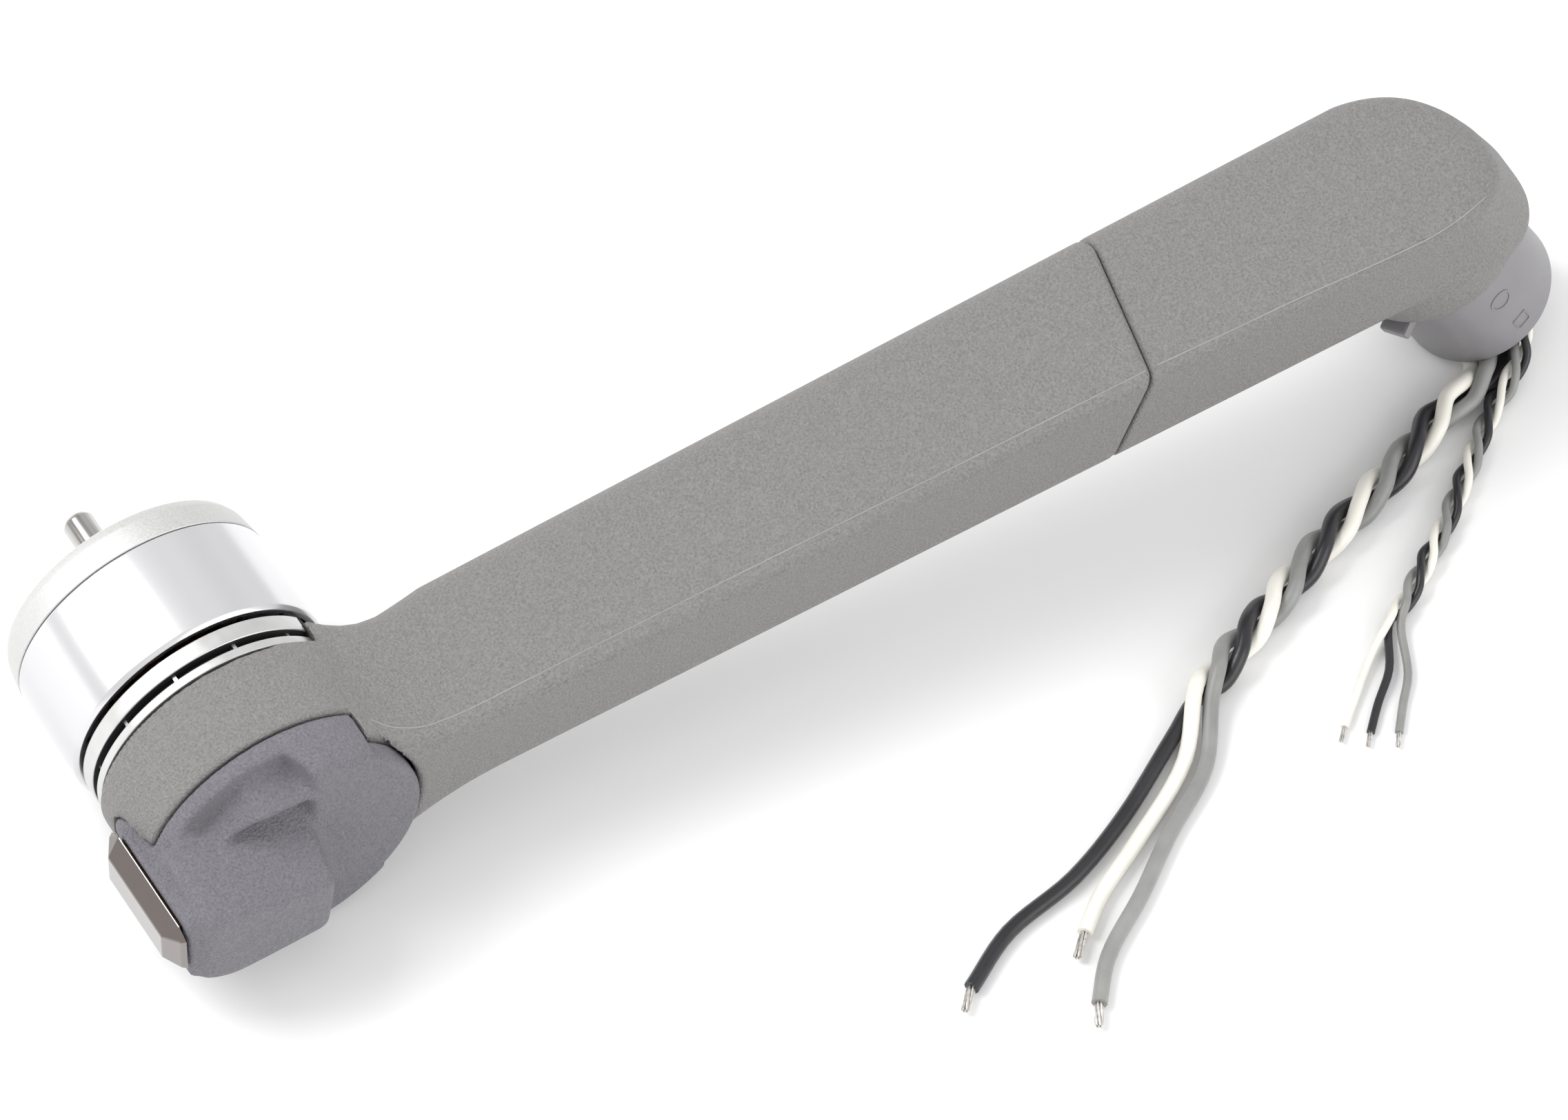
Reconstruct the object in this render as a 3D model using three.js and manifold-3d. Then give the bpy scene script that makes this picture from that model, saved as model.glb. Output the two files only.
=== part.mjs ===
// Folding motor arm of a small four-rotor aircraft: a brushless outrunner motor on a hollow
// plastic arm, a lens with its light board at the tip, and a slanted hinge barrel with
// free wires at the root. Millimetres, +Z up, lying on its back as it does on a bench.
import * as THREE from "three";
import { mergeVertices } from "three/addons/utils/BufferGeometryUtils.js";
import { ConvexGeometry } from "three/addons/geometries/ConvexGeometry.js";
import Module from "manifold-3d";

// ---------------------------------------------------------------- driving sizes
// The arm's own frame: origin on the motor axis where cap and can meet, +X from the motor
// to the hinge, +Y along the motor shaft and out of its cap, +Z out of the broad face.
const GAP = 0.3; // between touching pieces
const BELL_RADIUS = 13;
const ARM_TILT = THREE.MathUtils.degToRad(5.59); // the hinge barrel props the root end up
const ARM_ORIGIN = new THREE.Vector3(-60.26, 10.95, BELL_RADIUS); // in the part's frame

const SHAFT = { radius: 1.5, tip: 12.2, end: -15.6, clipTop: -14.5, clipBottom: -15.2 };
const CAP_TOP = 4;
const CAN = { inner: 12.2, bottom: -10.5 };
const MAGNET = { count: 14, inner: 10.95, outer: 11.9, top: -0.9, bottom: -9.9 };
const STATOR = { teeth: 12, outer: 10.5, hub: 5.9, bore: 5, top: -2.4, bottom: -8.4, toothWidth: 1.6 };
const BEARING = { outer: 3.5, bore: 1.8, length: 3 };
const BASE = { ringRadius: 12.6, top: -11.1, bottom: -16, cutX: 9.9, tube: 4.7, tubeBore: 3.8 };

const POD = { top: -14.8, inner: 11.6, webTop: -16.3, webBottom: -17.8, rim: -23.3, stepRim: -26.3 };
const COVER_BOTTOM = -29;
const FOOT_BOTTOM = -34.1;
const COVER_BACK = 12.6; // radius of the cover where it meets the neck
const MOTOR_SCREW = { circle: 7.5, count: 3, shank: 1, head: 1.7 };

const ARM = { bottom: -28.1, front: 5.6, nearX: 16, farX: 117 };
const ARM_NEAR = { top: -11.5, back: -5.7 }; // at nearX
const ARM_FAR = { top: -10.1, back: -7 }; // at farX, where the round root end begins
const CORNER = { top: 3.9, bottomBack: 3, bottomFront: 1.2 }; // the section's roundings
const NECK = { fromX: 8.4, toX: 22, spread: 3.9 }; // the arm widens towards the pod
const WALL = 1.3;
const CHANNEL_WALL = 2.6; // of the stiffer root shell
const SEAM = { x: 90, perY: 0.17, perZ: 0.42 }; // X at the bottom front edge, and its slants
const SPIGOT_LENGTH = 8;

const HINGE_CENTRE = new THREE.Vector3(123.96, -19.55, -10.74); // where barrel and shell meet
const HINGE_UP = new THREE.Vector3(-0.353, 0.069, 0.932).normalize(); // into the shell
const BARREL = { radius: 7.35, length: 12.3, hollow: 6, spigot: 3.6, passage: 2.5, top: 10.4 };
const BORE = { radius: 5.6, top: 13.4 };

const LENS = { baseX: -12.9, faceX: -15.7, top: -19.2, bottom: -32.8, halfWidth: 3.2 };
const NOSE_X = -13.9;

// ---------------------------------------------------------------- solids
const wasm = await Module();
wasm.setup();

function solid(geometry) {
  const flat = new THREE.BufferGeometry();
  const whole = geometry.index ? geometry.toNonIndexed() : geometry;
  flat.setAttribute("position", whole.getAttribute("position").clone());
  const merged = mergeVertices(flat, 1e-4);
  const corners = merged.index.array;
  const kept = [];
  for (let i = 0; i < corners.length; i += 3) {
    const [a, b, c] = corners.subarray(i, i + 3);
    if (a !== b && b !== c && c !== a) kept.push(a, b, c);
  }
  const make = (triangles) =>
    new wasm.Manifold(
      new wasm.Mesh({
        numProp: 3,
        vertProperties: new Float32Array(merged.attributes.position.array),
        triVerts: new Uint32Array(triangles),
      }),
    );
  const made = make(kept);
  return made.volume() > 0 ? made : make(kept.reverse());
}

function joined(...pieces) {
  return pieces.reduce((sum, piece) => sum.add(piece));
}

function without(body, ...cuts) {
  return cuts.reduce((rest, cut) => rest.subtract(cut), body);
}

// A closed profile of [radius, y] points turned about Y.
function turned(profile, segments = 32) {
  const points = profile.map(([radius, y]) => new THREE.Vector2(radius, y));
  points.push(points[0].clone());
  return solid(new THREE.LatheGeometry(points, segments));
}

function ring(inner, outer, top, bottom, segments = 32) {
  return turned([[inner, bottom], [outer, bottom], [outer, top], [inner, top]], segments);
}

function disc(radius, top, bottom, segments = 32) {
  return turned([[0, bottom], [radius, bottom], [radius, top], [0, top]], segments);
}

function block(low, high) {
  const box = new THREE.BoxGeometry(high[0] - low[0], high[1] - low[1], high[2] - low[2]);
  box.translate((low[0] + high[0]) / 2, (low[1] + high[1]) / 2, (low[2] + high[2]) / 2);
  return solid(box);
}

// An outline of (x, z) points extruded down from top to bottom along Y.
function alongY(shape, top, bottom, curveSegments = 8) {
  const depth = top - bottom;
  const body = new THREE.ExtrudeGeometry(shape, { depth, bevelEnabled: false, curveSegments });
  body.rotateX(Math.PI / 2);
  body.translate(0, top, 0);
  return solid(body);
}

function outline(points) {
  return new THREE.Shape(points.map(([x, y]) => new THREE.Vector2(x, y)));
}

function hull(points) {
  return solid(new ConvexGeometry(points.map((p) => new THREE.Vector3(...p))));
}

function aboutY(body, angle) {
  return body.rotate([0, THREE.MathUtils.radToDeg(angle), 0]);
}

function tube(points, shape, steps, curveSegments = 4) {
  const extrudePath = new THREE.CatmullRomCurve3(points.map((p) => new THREE.Vector3(...p)));
  const options = { steps, extrudePath, curveSegments, bevelEnabled: false };
  return solid(new THREE.ExtrudeGeometry(shape, options));
}

function circle(radius) {
  return new THREE.Shape().absarc(0, 0, radius, 0, 2 * Math.PI);
}

// Hinge frame: z along the hinge axis into the root shell, x towards the root's far end.
const hingeX = new THREE.Vector3(1, 0, 0).addScaledVector(HINGE_UP, -HINGE_UP.x).normalize();
const hingeY = new THREE.Vector3().crossVectors(HINGE_UP, hingeX);
const hingeMatrix = new THREE.Matrix4().makeBasis(hingeX, hingeY, HINGE_UP).setPosition(HINGE_CENTRE);

function inHinge(body) {
  return body.transform(hingeMatrix.elements);
}

// A closed profile of [radius, z] points turned about the hinge axis, in the hinge frame.
function turnedZ(profile, segments = 28) {
  return turned(profile, segments).rotate([90, 0, 0]);
}

function ringZ(inner, outer, top, bottom, segments = 28) {
  return turnedZ([[inner, bottom], [outer, bottom], [outer, top], [inner, top]], segments);
}

// ---------------------------------------------------------------- materials
function finish(color, roughness, metalness) {
  return new THREE.MeshStandardMaterial({ color, roughness, metalness });
}

const armPlastic = finish(0x949391, 0.75, 0);
const coverPlastic = finish(0x86858f, 0.75, 0);
const barrelPlastic = finish(0x96949a, 0.5, 0);
const polished = finish(0xe6e6ea, 0.12, 1);
const matteAluminium = finish(0xc9c9c8, 0.45, 1);
const steel = finish(0xb4b4b2, 0.3, 1);
const magnetPlating = finish(0x6f7072, 0.35, 1);
const laminations = finish(0x3c3d40, 0.55, 0.6);
const copper = finish(0xb66a35, 0.35, 1);
const smokedLens = finish(0x2b1f1c, 0.08, 0);
const boardGreen = finish(0x1f4a33, 0.5, 0);
const nylon = finish(0xd8d4c8, 0.5, 0);
const tinned = finish(0xc0bfbc, 0.3, 1);
const insulation = {
  black: finish(0x17171a, 0.4, 0),
  white: finish(0xe9e6df, 0.45, 0),
  grey: finish(0x8b8a89, 0.45, 0),
};

const part = new THREE.Group();
const arm = new THREE.Group();
arm.rotation.y = -ARM_TILT;
arm.position.copy(ARM_ORIGIN);
const hinge = new THREE.Group();
hinge.applyMatrix4(hingeMatrix);
arm.add(hinge);
part.add(arm);

function addPiece(parent, name, body, material) {
  const made = body.getMesh();
  const geometry = new THREE.BufferGeometry();
  geometry.setAttribute("position", new THREE.BufferAttribute(new Float32Array(made.vertProperties), 3));
  geometry.setIndex(new THREE.BufferAttribute(new Uint32Array(made.triVerts), 1));
  const flat = geometry.toNonIndexed();
  flat.computeVertexNormals();
  const mesh = new THREE.Mesh(flat, material);
  mesh.name = name;
  parent.add(mesh);
}

// ---------------------------------------------------------------- rotor
function rotorCap() {
  const shell = turned([
    [SHAFT.radius + GAP, -0.6],
    [3.2, -0.6],
    [3.6, 1.4],
    [CAN.inner, 1.4],
    [CAN.inner, GAP / 2],
    [BELL_RADIUS, GAP / 2],
    [12.6, 2.6],
    [12.2, 3.5],
    [11.4, CAP_TOP],
    [SHAFT.radius + GAP, CAP_TOP],
  ]);
  const mountHole = disc(0.8, CAP_TOP + 1, 2.2, 12).translate([6, 0, 0]);
  const holes = [0, 1, 2].map((i) => aboutY(mountHole, (i * 2 * Math.PI) / 3));
  return without(shell, ...holes);
}

function rotorCan() {
  return turned([
    [CAN.inner, CAN.bottom],
    [BELL_RADIUS - 0.25, CAN.bottom],
    [BELL_RADIUS, CAN.bottom + 0.25],
    [BELL_RADIUS, -GAP / 2],
    [CAN.inner, -GAP / 2],
  ]);
}

function magnet(index) {
  const pitch = (2 * Math.PI) / MAGNET.count;
  const half = pitch / 2 - 0.03;
  const shape = new THREE.Shape();
  shape.absarc(0, 0, MAGNET.outer, -half, half, false);
  shape.absarc(0, 0, MAGNET.inner, half, -half, true);
  return aboutY(alongY(shape, MAGNET.top, MAGNET.bottom, 3), index * pitch);
}

function motorShaft() {
  return turned(
    [
      [0, SHAFT.end],
      [SHAFT.radius - 0.3, SHAFT.end],
      [SHAFT.radius, SHAFT.end + 0.3],
      [SHAFT.radius, SHAFT.clipBottom],
      [1.1, SHAFT.clipBottom],
      [1.1, SHAFT.clipTop],
      [SHAFT.radius, SHAFT.clipTop],
      [SHAFT.radius, SHAFT.tip - 0.35],
      [SHAFT.radius - 0.35, SHAFT.tip],
      [0, SHAFT.tip],
    ],
    16,
  );
}

// An open spring clip: most of a ring, its mouth turned towards +X.
function clipShape(inner, outer, mouth) {
  const shape = new THREE.Shape();
  shape.absarc(0, 0, outer, mouth, 2 * Math.PI - mouth, false);
  shape.absarc(0, 0, inner, 2 * Math.PI - mouth, mouth, true);
  return shape;
}

addPiece(arm, "rotor_cap", rotorCap(), matteAluminium);
addPiece(arm, "rotor_can", rotorCan(), polished);
for (let i = 0; i < MAGNET.count; i++) {
  addPiece(arm, `magnet_${String(i + 1).padStart(2, "0")}`, magnet(i), magnetPlating);
}
addPiece(arm, "motor_shaft", motorShaft(), steel);
const shaftClip = alongY(clipShape(1.4, 2.8, 0.5), SHAFT.clipTop - 0.1, SHAFT.clipBottom + 0.1);
addPiece(arm, "shaft_clip", shaftClip, steel);

// ---------------------------------------------------------------- stator and motor base
function statorTooth() {
  const half = STATOR.toothWidth / 2;
  const tip = 0.2; // half angle of the tooth's spread tip
  const stem = block([STATOR.bore + 0.4, STATOR.bottom, -half], [9.9, STATOR.top, half]);
  const shape = new THREE.Shape();
  shape.absarc(0, 0, STATOR.outer, -tip, tip, false);
  shape.absarc(0, 0, 9.6, tip, -tip, true);
  return joined(stem, alongY(shape, STATOR.top, STATOR.bottom, 3));
}

function statorCore() {
  const tooth = statorTooth();
  const hub = ring(STATOR.bore, STATOR.hub, STATOR.top, STATOR.bottom, 24);
  const turns = Array.from({ length: STATOR.teeth }, (_, i) => (i * 2 * Math.PI) / STATOR.teeth);
  return joined(hub, ...turns.map((angle) => aboutY(tooth, angle)));
}

// Copper on every tooth, joined below by the ring of their common ends.
function statorWindings() {
  const clear = 0.2;
  const copperWidth = 0.6;
  const inner = STATOR.toothWidth / 2 + clear;
  const outer = inner + copperWidth;
  const [top, bottom] = [STATOR.top + clear, STATOR.bottom - clear];
  const coil = without(
    block([6.6, bottom - 0.7, -outer], [9.2, top + 0.7, outer]),
    block([6, bottom, -inner], [10, top, inner]),
  );
  const turns = Array.from({ length: STATOR.teeth }, (_, i) => (i * 2 * Math.PI) / STATOR.teeth);
  const endRing = ring(6.9, 7.8, bottom - 0.6, bottom - 1.2, 24);
  return joined(endRing, ...turns.map((angle) => aboutY(coil, angle)));
}

function motorBase() {
  const turnedBase = turned([
    [BASE.tubeBore, BASE.bottom],
    [POD.inner - GAP, BASE.bottom],
    [POD.inner - GAP, -14.5],
    [BASE.ringRadius, -14.5],
    [BASE.ringRadius, -13.6],
    [11.2, -13.6],
    [11.2, -12.8],
    [BASE.ringRadius, -12.8],
    [BASE.ringRadius, BASE.top],
    [BASE.tube, BASE.top],
    [BASE.tube, -2],
    [BASE.tubeBore, -2],
  ]);
  const neckSide = block([BASE.cutX, POD.top - GAP, -14], [14, -10, 14]);
  return without(turnedBase, neckSide, ...motorScrewPlaces(disc(1.3, -13.2, -17, 16)));
}

function motorScrewPlaces(body) {
  const placed = body.translate([MOTOR_SCREW.circle, 0, 0]);
  const angles = Array.from({ length: MOTOR_SCREW.count }, (_, i) => Math.PI / 6 + (i * 2 * Math.PI) / 3);
  return angles.map((angle) => aboutY(placed, angle));
}

function bearing(top) {
  return ring(BEARING.bore, BEARING.outer, top, top - BEARING.length, 20);
}

function motorScrew() {
  const head = -18.1;
  return turned(
    [
      [0, head - 1.2],
      [MOTOR_SCREW.head, head - 1.2],
      [MOTOR_SCREW.head, head],
      [MOTOR_SCREW.shank, head],
      [MOTOR_SCREW.shank, -13.6],
      [0, -13.6],
    ],
    16,
  );
}

addPiece(arm, "stator_core", statorCore(), laminations);
addPiece(arm, "stator_windings", statorWindings(), copper);
addPiece(arm, "motor_base", motorBase(), matteAluminium);
addPiece(arm, "bearing_upper", bearing(-2.6), steel);
addPiece(arm, "bearing_lower", bearing(-11), steel);
motorScrewPlaces(motorScrew()).forEach((screw, i) => addPiece(arm, `motor_screw_${i + 1}`, screw, steel));

// ---------------------------------------------------------------- arm shells
// How far the neck's top stands above the straight part's line, from the pod outwards.
const NECK_TOP = [[6, 0.4], [8.4, 0.4], [10.6, 0.15], [12, -0.4], [13.4, -0.8], [15, -1], [17, -0.9],
  [19.5, -0.4], [22, 0]];

// How much wider the arm is at x than its straight part, on each side.
function spreadAt(x) {
  const share = (NECK.toX - x) / (NECK.toX - NECK.fromX);
  return share > 0 ? NECK.spread * share ** 2.2 : 0;
}

// The arm's rounded section at x as points, drawn inwards by inset.
function section(x, inset, spread = 0, lift = 0) {
  const share = (x - ARM.nearX) / (ARM.farX - ARM.nearX);
  const low = ARM.bottom + inset;
  const high = THREE.MathUtils.lerp(ARM_NEAR.top, ARM_FAR.top, share) - inset + lift;
  const back = THREE.MathUtils.lerp(ARM_NEAR.back, ARM_FAR.back, share) + inset - spread;
  const front = ARM.front - inset + spread;
  const corner = (radius, y, z, from) => {
    const r = Math.max(radius - inset, 0.3);
    const centre = [y - Math.sign(y - (low + high) / 2) * r, z - Math.sign(z - (back + front) / 2) * r];
    return [0, 30, 60, 90].map((step) => {
      const angle = THREE.MathUtils.degToRad(from + step);
      return [x, centre[0] + r * Math.cos(angle), centre[1] + r * Math.sin(angle)];
    });
  };
  return [
    ...corner(CORNER.top - 0.65 * spread, high, front, 0),
    ...corner(CORNER.bottomFront + 0.7 * spread, low, front, 90),
    ...corner(CORNER.bottomBack, low, back, 180),
    ...corner(CORNER.top - 0.65 * spread, high, back, 270),
  ];
}

function beam(fromX, toX, inset) {
  return hull([...section(fromX, inset), ...section(toX, inset)]);
}

function neckBody() {
  const slices = NECK_TOP.slice(1).map(([x, lift], i) => {
    const [before, liftBefore] = NECK_TOP[i];
    const spreadBefore = spreadAt(Math.max(before, NECK.fromX));
    return hull([...section(before, 0, spreadBefore, liftBefore), ...section(x, 0, spreadAt(x), lift)]);
  });
  return joined(...slices);
}

// A slab from endX to the slanted seam, stopping clear of it.
function upToSeam(endX, clear) {
  const seamAt = (y, z) => SEAM.x + clear + SEAM.perY * (y - ARM.bottom) + SEAM.perZ * (z - ARM.front);
  const sides = [[0, 18], [0, -18], [-40, 18], [-40, -18]];
  return hull(sides.flatMap(([y, z]) => [[endX, y, z], [seamAt(y, z), y, z]]));
}

const motorSideOfSeam = (clear) => upToSeam(-20, -clear);
const rootSideOfSeam = (clear) => upToSeam(150, clear);

const noseTongue = { halfWidth: 3.4, top: -17.6 };

function armShell() {
  const pod = disc(BELL_RADIUS, POD.top, POD.stepRim);
  const neckClear = block([-20, POD.top, -20], [BASE.cutX + GAP, 0, 20]);
  const body = joined(pod, without(neckBody(), neckClear), beam(NECK.toX - 0.5, SEAM.x + 8, 0));
  const cup = disc(POD.inner, 0, POD.webTop).subtract(block([BASE.cutX + GAP, POD.top, -14], [14, 0, 14]));
  const lowerCup = disc(POD.inner, POD.webBottom, -40);
  const coverFront = disc(BELL_RADIUS + GAP, POD.rim, -40).intersect(block([-20, -40, -20], [8.6, 0, 20]));
  const coverBack = disc(COVER_BACK + GAP, POD.stepRim, -40);
  const channel = block([7, ARM.bottom + 1.5, -4.2], [16, POD.webBottom - 0.4, 4.2]);
  const wiresHole = disc(4.5, -10, -20, 32);
  const slot = noseTongue.halfWidth + GAP;
  const tongueSlot = block([-20, -40, -slot], [-9, noseTongue.top + GAP, slot]);
  const hollow = beam(14, SEAM.x + 9, WALL);
  return without(
    body.intersect(motorSideOfSeam(GAP / 2)),
    cup,
    lowerCup,
    coverFront,
    coverBack,
    channel,
    wiresHole,
    tongueSlot,
    hollow,
    ...motorScrewPlaces(disc(1.3, -16, -18, 16)),
  );
}

// The round end of the root: an outline that leans along the hinge axis.
function rootEnd() {
  const [upper, lower] = [11.6, 6.4]; // radii of the end's outline
  const middle = ARM.bottom + lower;
  const upperX = 117.4;
  const lowerX = upperX + upper - lower;
  const outlineZ = 3.5; // where the outline has its true place
  const shape = new THREE.Shape();
  shape.moveTo(ARM.farX - 8, ARM.bottom);
  shape.lineTo(lowerX, ARM.bottom);
  shape.absarc(lowerX, middle, lower, -Math.PI / 2, 0, false);
  shape.absarc(upperX, middle, upper, 0, Math.PI / 2, false);
  shape.lineTo(ARM.farX - 8, middle + upper);
  const bevel = 2.6;
  const [front, back] = [ARM.front, -5.2];
  const round = new THREE.ExtrudeGeometry(shape, {
    depth: front - back - 2 * bevel,
    bevelThickness: bevel,
    bevelSize: bevel,
    bevelOffset: -bevel,
    bevelSegments: 3,
    curveSegments: 8,
  });
  round.translate(0, 0, back + bevel - outlineZ);
  const lean = HINGE_UP.x / HINGE_UP.z;
  round.applyMatrix4(new THREE.Matrix4().makeShear(0, 0, 0, 0, lean, 0));
  round.translate(0, 0, outlineZ);
  return solid(round).intersect(beam(ARM.farX - 9, ARM.farX + 14, 0));
}

function rootShell() {
  const collar = inHinge(
    turnedZ([
      [0, 0],
      [8.15, 0],
      [8.6, 2],
      [9, 5],
      [8.6, 9],
      [7, 11],
      [0, 11],
    ]).scale([1.07, 1, 1]),
  );
  const spigotEnds = motorSideOfSeam(-3).intersect(rootSideOfSeam(-SPIGOT_LENGTH));
  const spigot = beam(SEAM.x - 18, SEAM.x + 9, WALL + GAP).intersect(spigotEnds);
  const main = joined(beam(SEAM.x - 10, ARM.farX, 0), rootEnd()).intersect(rootSideOfSeam(GAP / 2));
  const channel = beam(SEAM.x - 20, 116, CHANNEL_WALL);
  const bore = inHinge(turnedZ([[0, -1], [BORE.radius, -1], [BORE.radius, BORE.top], [0, BORE.top]]));
  return without(joined(main, spigot, collar), channel, bore);
}

addPiece(arm, "arm_shell", armShell(), armPlastic);
addPiece(arm, "root_shell", rootShell(), armPlastic);

// ---------------------------------------------------------------- cover, lens, light board
function footBlock() {
  const bottom = FOOT_BOTTOM;
  return hull([
    [-13, bottom + 1, 5.2],
    [-12, bottom, 4.9],
    [0.6, bottom, 1.8],
    [1.3, bottom + 1.6, 2.4],
    [-0.4, bottom, -4.6],
    [-11, bottom, -5],
    [-13, bottom + 1, -4.8],
    [NOSE_X, -31, 4.2],
    [NOSE_X, -31, -4.2],
    [-11.2, -25.5, 6],
    [-6, -27, 10.4],
    [4, -28, 7.5],
    [3.5, -28, -7],
    [-10.5, -26, -7],
  ]);
}

function bottomCover() {
  const cup = turned([
    [0, COVER_BOTTOM],
    [8.2, COVER_BOTTOM],
    [10.8, -28.2],
    [12.4, -26.6],
    [BELL_RADIUS, -24.6],
    [BELL_RADIUS, POD.rim - GAP],
    [POD.inner, POD.rim - GAP],
    [POD.inner, -25],
    [9.6, -27.5],
    [0, -27.5],
  ]);
  const neckSide = block([8.3, -40, -20], [20, POD.stepRim - GAP, 20]);
  const sill = ring(10.4, COVER_BACK, -20, -28.5).intersect(neckSide);
  const stepped = joined(cup.subtract(block([8.3, POD.stepRim - GAP, -20], [20, 0, 20])), sill)
    .subtract(ring(COVER_BACK, 20, -20, -40).intersect(neckSide));
  const { halfWidth, top } = noseTongue;
  const tongue = block([-14, -25, -halfWidth], [-11.6, top, halfWidth]).intersect(disc(BELL_RADIUS, 0, -40));
  const nose = hull([
    [-11.7, -20, 3.2],
    [-11.7, -20, -3.2],
    [-13, -18.6, 2.6],
    [-13, -18.6, -2.6],
    [NOSE_X, -20.5, 3.3],
    [NOSE_X, -20.5, -3.3],
    [-11.7, -32, 4.8],
    [-11.7, -32, -4.8],
    [NOSE_X, -32, 4.3],
    [NOSE_X, -32, -4.3],
  ]);
  const outside = joined(stepped, tongue, nose, footBlock());
  const boardRoom = block([-11.6, -29.6, -2.9], [-9, -18, 2.9]);
  const footRoom = block([-9.5, -32.2, -3.4], [-1, -26, 1.2]);
  const seat = LENS.halfWidth - 0.6;
  const lensSeat = block([-16, LENS.bottom + 1.6, -seat], [LENS.baseX + GAP, LENS.top - 1.6, seat]);
  const lensFlange = block([-16, LENS.bottom - GAP, -9], [LENS.baseX - 0.9, LENS.top + GAP, 9]);
  const lightHole = block([-14, -28.4, -1.5], [-11, -22, 1.5]);
  return without(outside, boardRoom, footRoom, lensSeat, lightHole, lensFlange);
}

function ledLens() {
  const { baseX, faceX, top, bottom, halfWidth } = LENS;
  const rim = baseX - 0.9 - GAP;
  const cap = hull(
    [
      [rim, top, halfWidth - 0.9],
      [rim, top - 1.2, halfWidth],
      [rim, bottom + 1.2, halfWidth],
      [rim, bottom, halfWidth - 0.9],
      [rim - 0.5, top - 0.4, halfWidth - 1],
      [rim - 0.5, bottom + 0.4, halfWidth - 1],
      [faceX, top - 2, halfWidth - 1.4],
      [faceX, bottom + 2, halfWidth - 1.4],
    ].flatMap(([x, y, z]) => [[x, y, z], [x, y, -z]]),
  );
  const seat = halfWidth - 0.6 - GAP;
  const plug = block([rim - 0.2, bottom + 1.9, -seat], [baseX, top - 1.9, seat]);
  return joined(cap, plug);
}

function ledBoard() {
  const board = block([-11, -29.2, -2.6], [-10.2, -20.4, 2.6]);
  const chip = block([-11.9, -26.4, -1.1], [-10.9, -24, 1.1]);
  return joined(board, chip);
}

addPiece(arm, "bottom_cover", bottomCover(), coverPlastic);
addPiece(arm, "led_lens", ledLens(), smokedLens);
addPiece(arm, "led_board", ledBoard(), boardGreen);

// ---------------------------------------------------------------- hinge
function hingeBarrel() {
  const end = -BARREL.length;
  const body = turnedZ([
    [BARREL.passage, -2.5],
    [BARREL.hollow, -2.5],
    [BARREL.hollow, end],
    [BARREL.radius - 0.3, end],
    [BARREL.radius, end + 0.3],
    [BARREL.radius, -GAP],
    [BARREL.spigot, -GAP],
    [BARREL.spigot, 9.3],
    [3.1, 9.3],
    [3.1, 9.9],
    [BARREL.spigot, 9.9],
    [BARREL.spigot, BARREL.top],
    [BARREL.passage, BARREL.top],
  ]);
  const stopTab = block([6.6, -1.4, -1.7], [9.4, 1.4, -0.5]).rotate([0, 0, 212]);
  return joined(body, stopTab);
}

// A flat ring with two rounded lobes, the detent that holds the arm open or folded.
function detentRing(outer, bottom, top, lobeFrom, lobeTo) {
  const plate = ringZ(3.9, outer, top, bottom);
  const lobe = block([3.9, -1.1, lobeFrom], [outer - 0.1, 1.1, lobeTo]);
  return joined(plate, lobe, lobe.rotate([0, 0, 180]));
}

function hingeSpring() {
  const turns = 4;
  const [low, high, mean, wire] = [4.4, 8, 4.5, 0.4];
  const count = turns * 10;
  const points = Array.from({ length: count + 1 }, (_, i) => {
    const angle = (i / count) * turns * 2 * Math.PI;
    const height = low + wire + ((high - low - 2 * wire) * i) / count;
    return [mean * Math.cos(angle), mean * Math.sin(angle), height];
  });
  return tube(points, circle(wire), count, 3);
}

addPiece(hinge, "hinge_barrel", hingeBarrel(), barrelPlastic);
addPiece(hinge, "detent_cam", detentRing(5.3, 0.1, 1.1, 1, 1.6), steel);
addPiece(hinge, "detent_follower", detentRing(5.3, 2.6, 3.9, 2.1, 2.7).rotate([0, 0, 90]), nylon);
addPiece(hinge, "hinge_spring", hingeSpring(), steel);
addPiece(hinge, "spring_seat", ringZ(3.9, 5.3, 9, 8.3), steel);
const clip = solid(
  new THREE.ExtrudeGeometry(clipShape(3.4, 5, 0.5), { depth: 0.4, bevelEnabled: false, curveSegments: 8 }),
);
addPiece(hinge, "retaining_clip", clip.translate([0, 0, 9.4]), steel);

// ---------------------------------------------------------------- wires inside the arm
const phaseRun = [[4, -20.8, 0], [9, -21, 0.4], [16, -20.4, 0], [60, -19.6, -0.6], [100, -19.4, -0.8],
  [108, -19.3, -0.4], [113, -19.1, 0]];
const lightRun = [[-8.8, -24.6, 0], [-4, -24.8, 1.6], [4, -24.6, 2.4], [14, -24.2, 2], [60, -23.2, 1.6],
  [100, -22.8, 1.4], [112, -22.4, 1]];
addPiece(arm, "phase_wire_run", tube(phaseRun, circle(1.2), 20), insulation.grey);
addPiece(arm, "light_wire_run", tube(lightRun, circle(0.6), 18), insulation.white);

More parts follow.
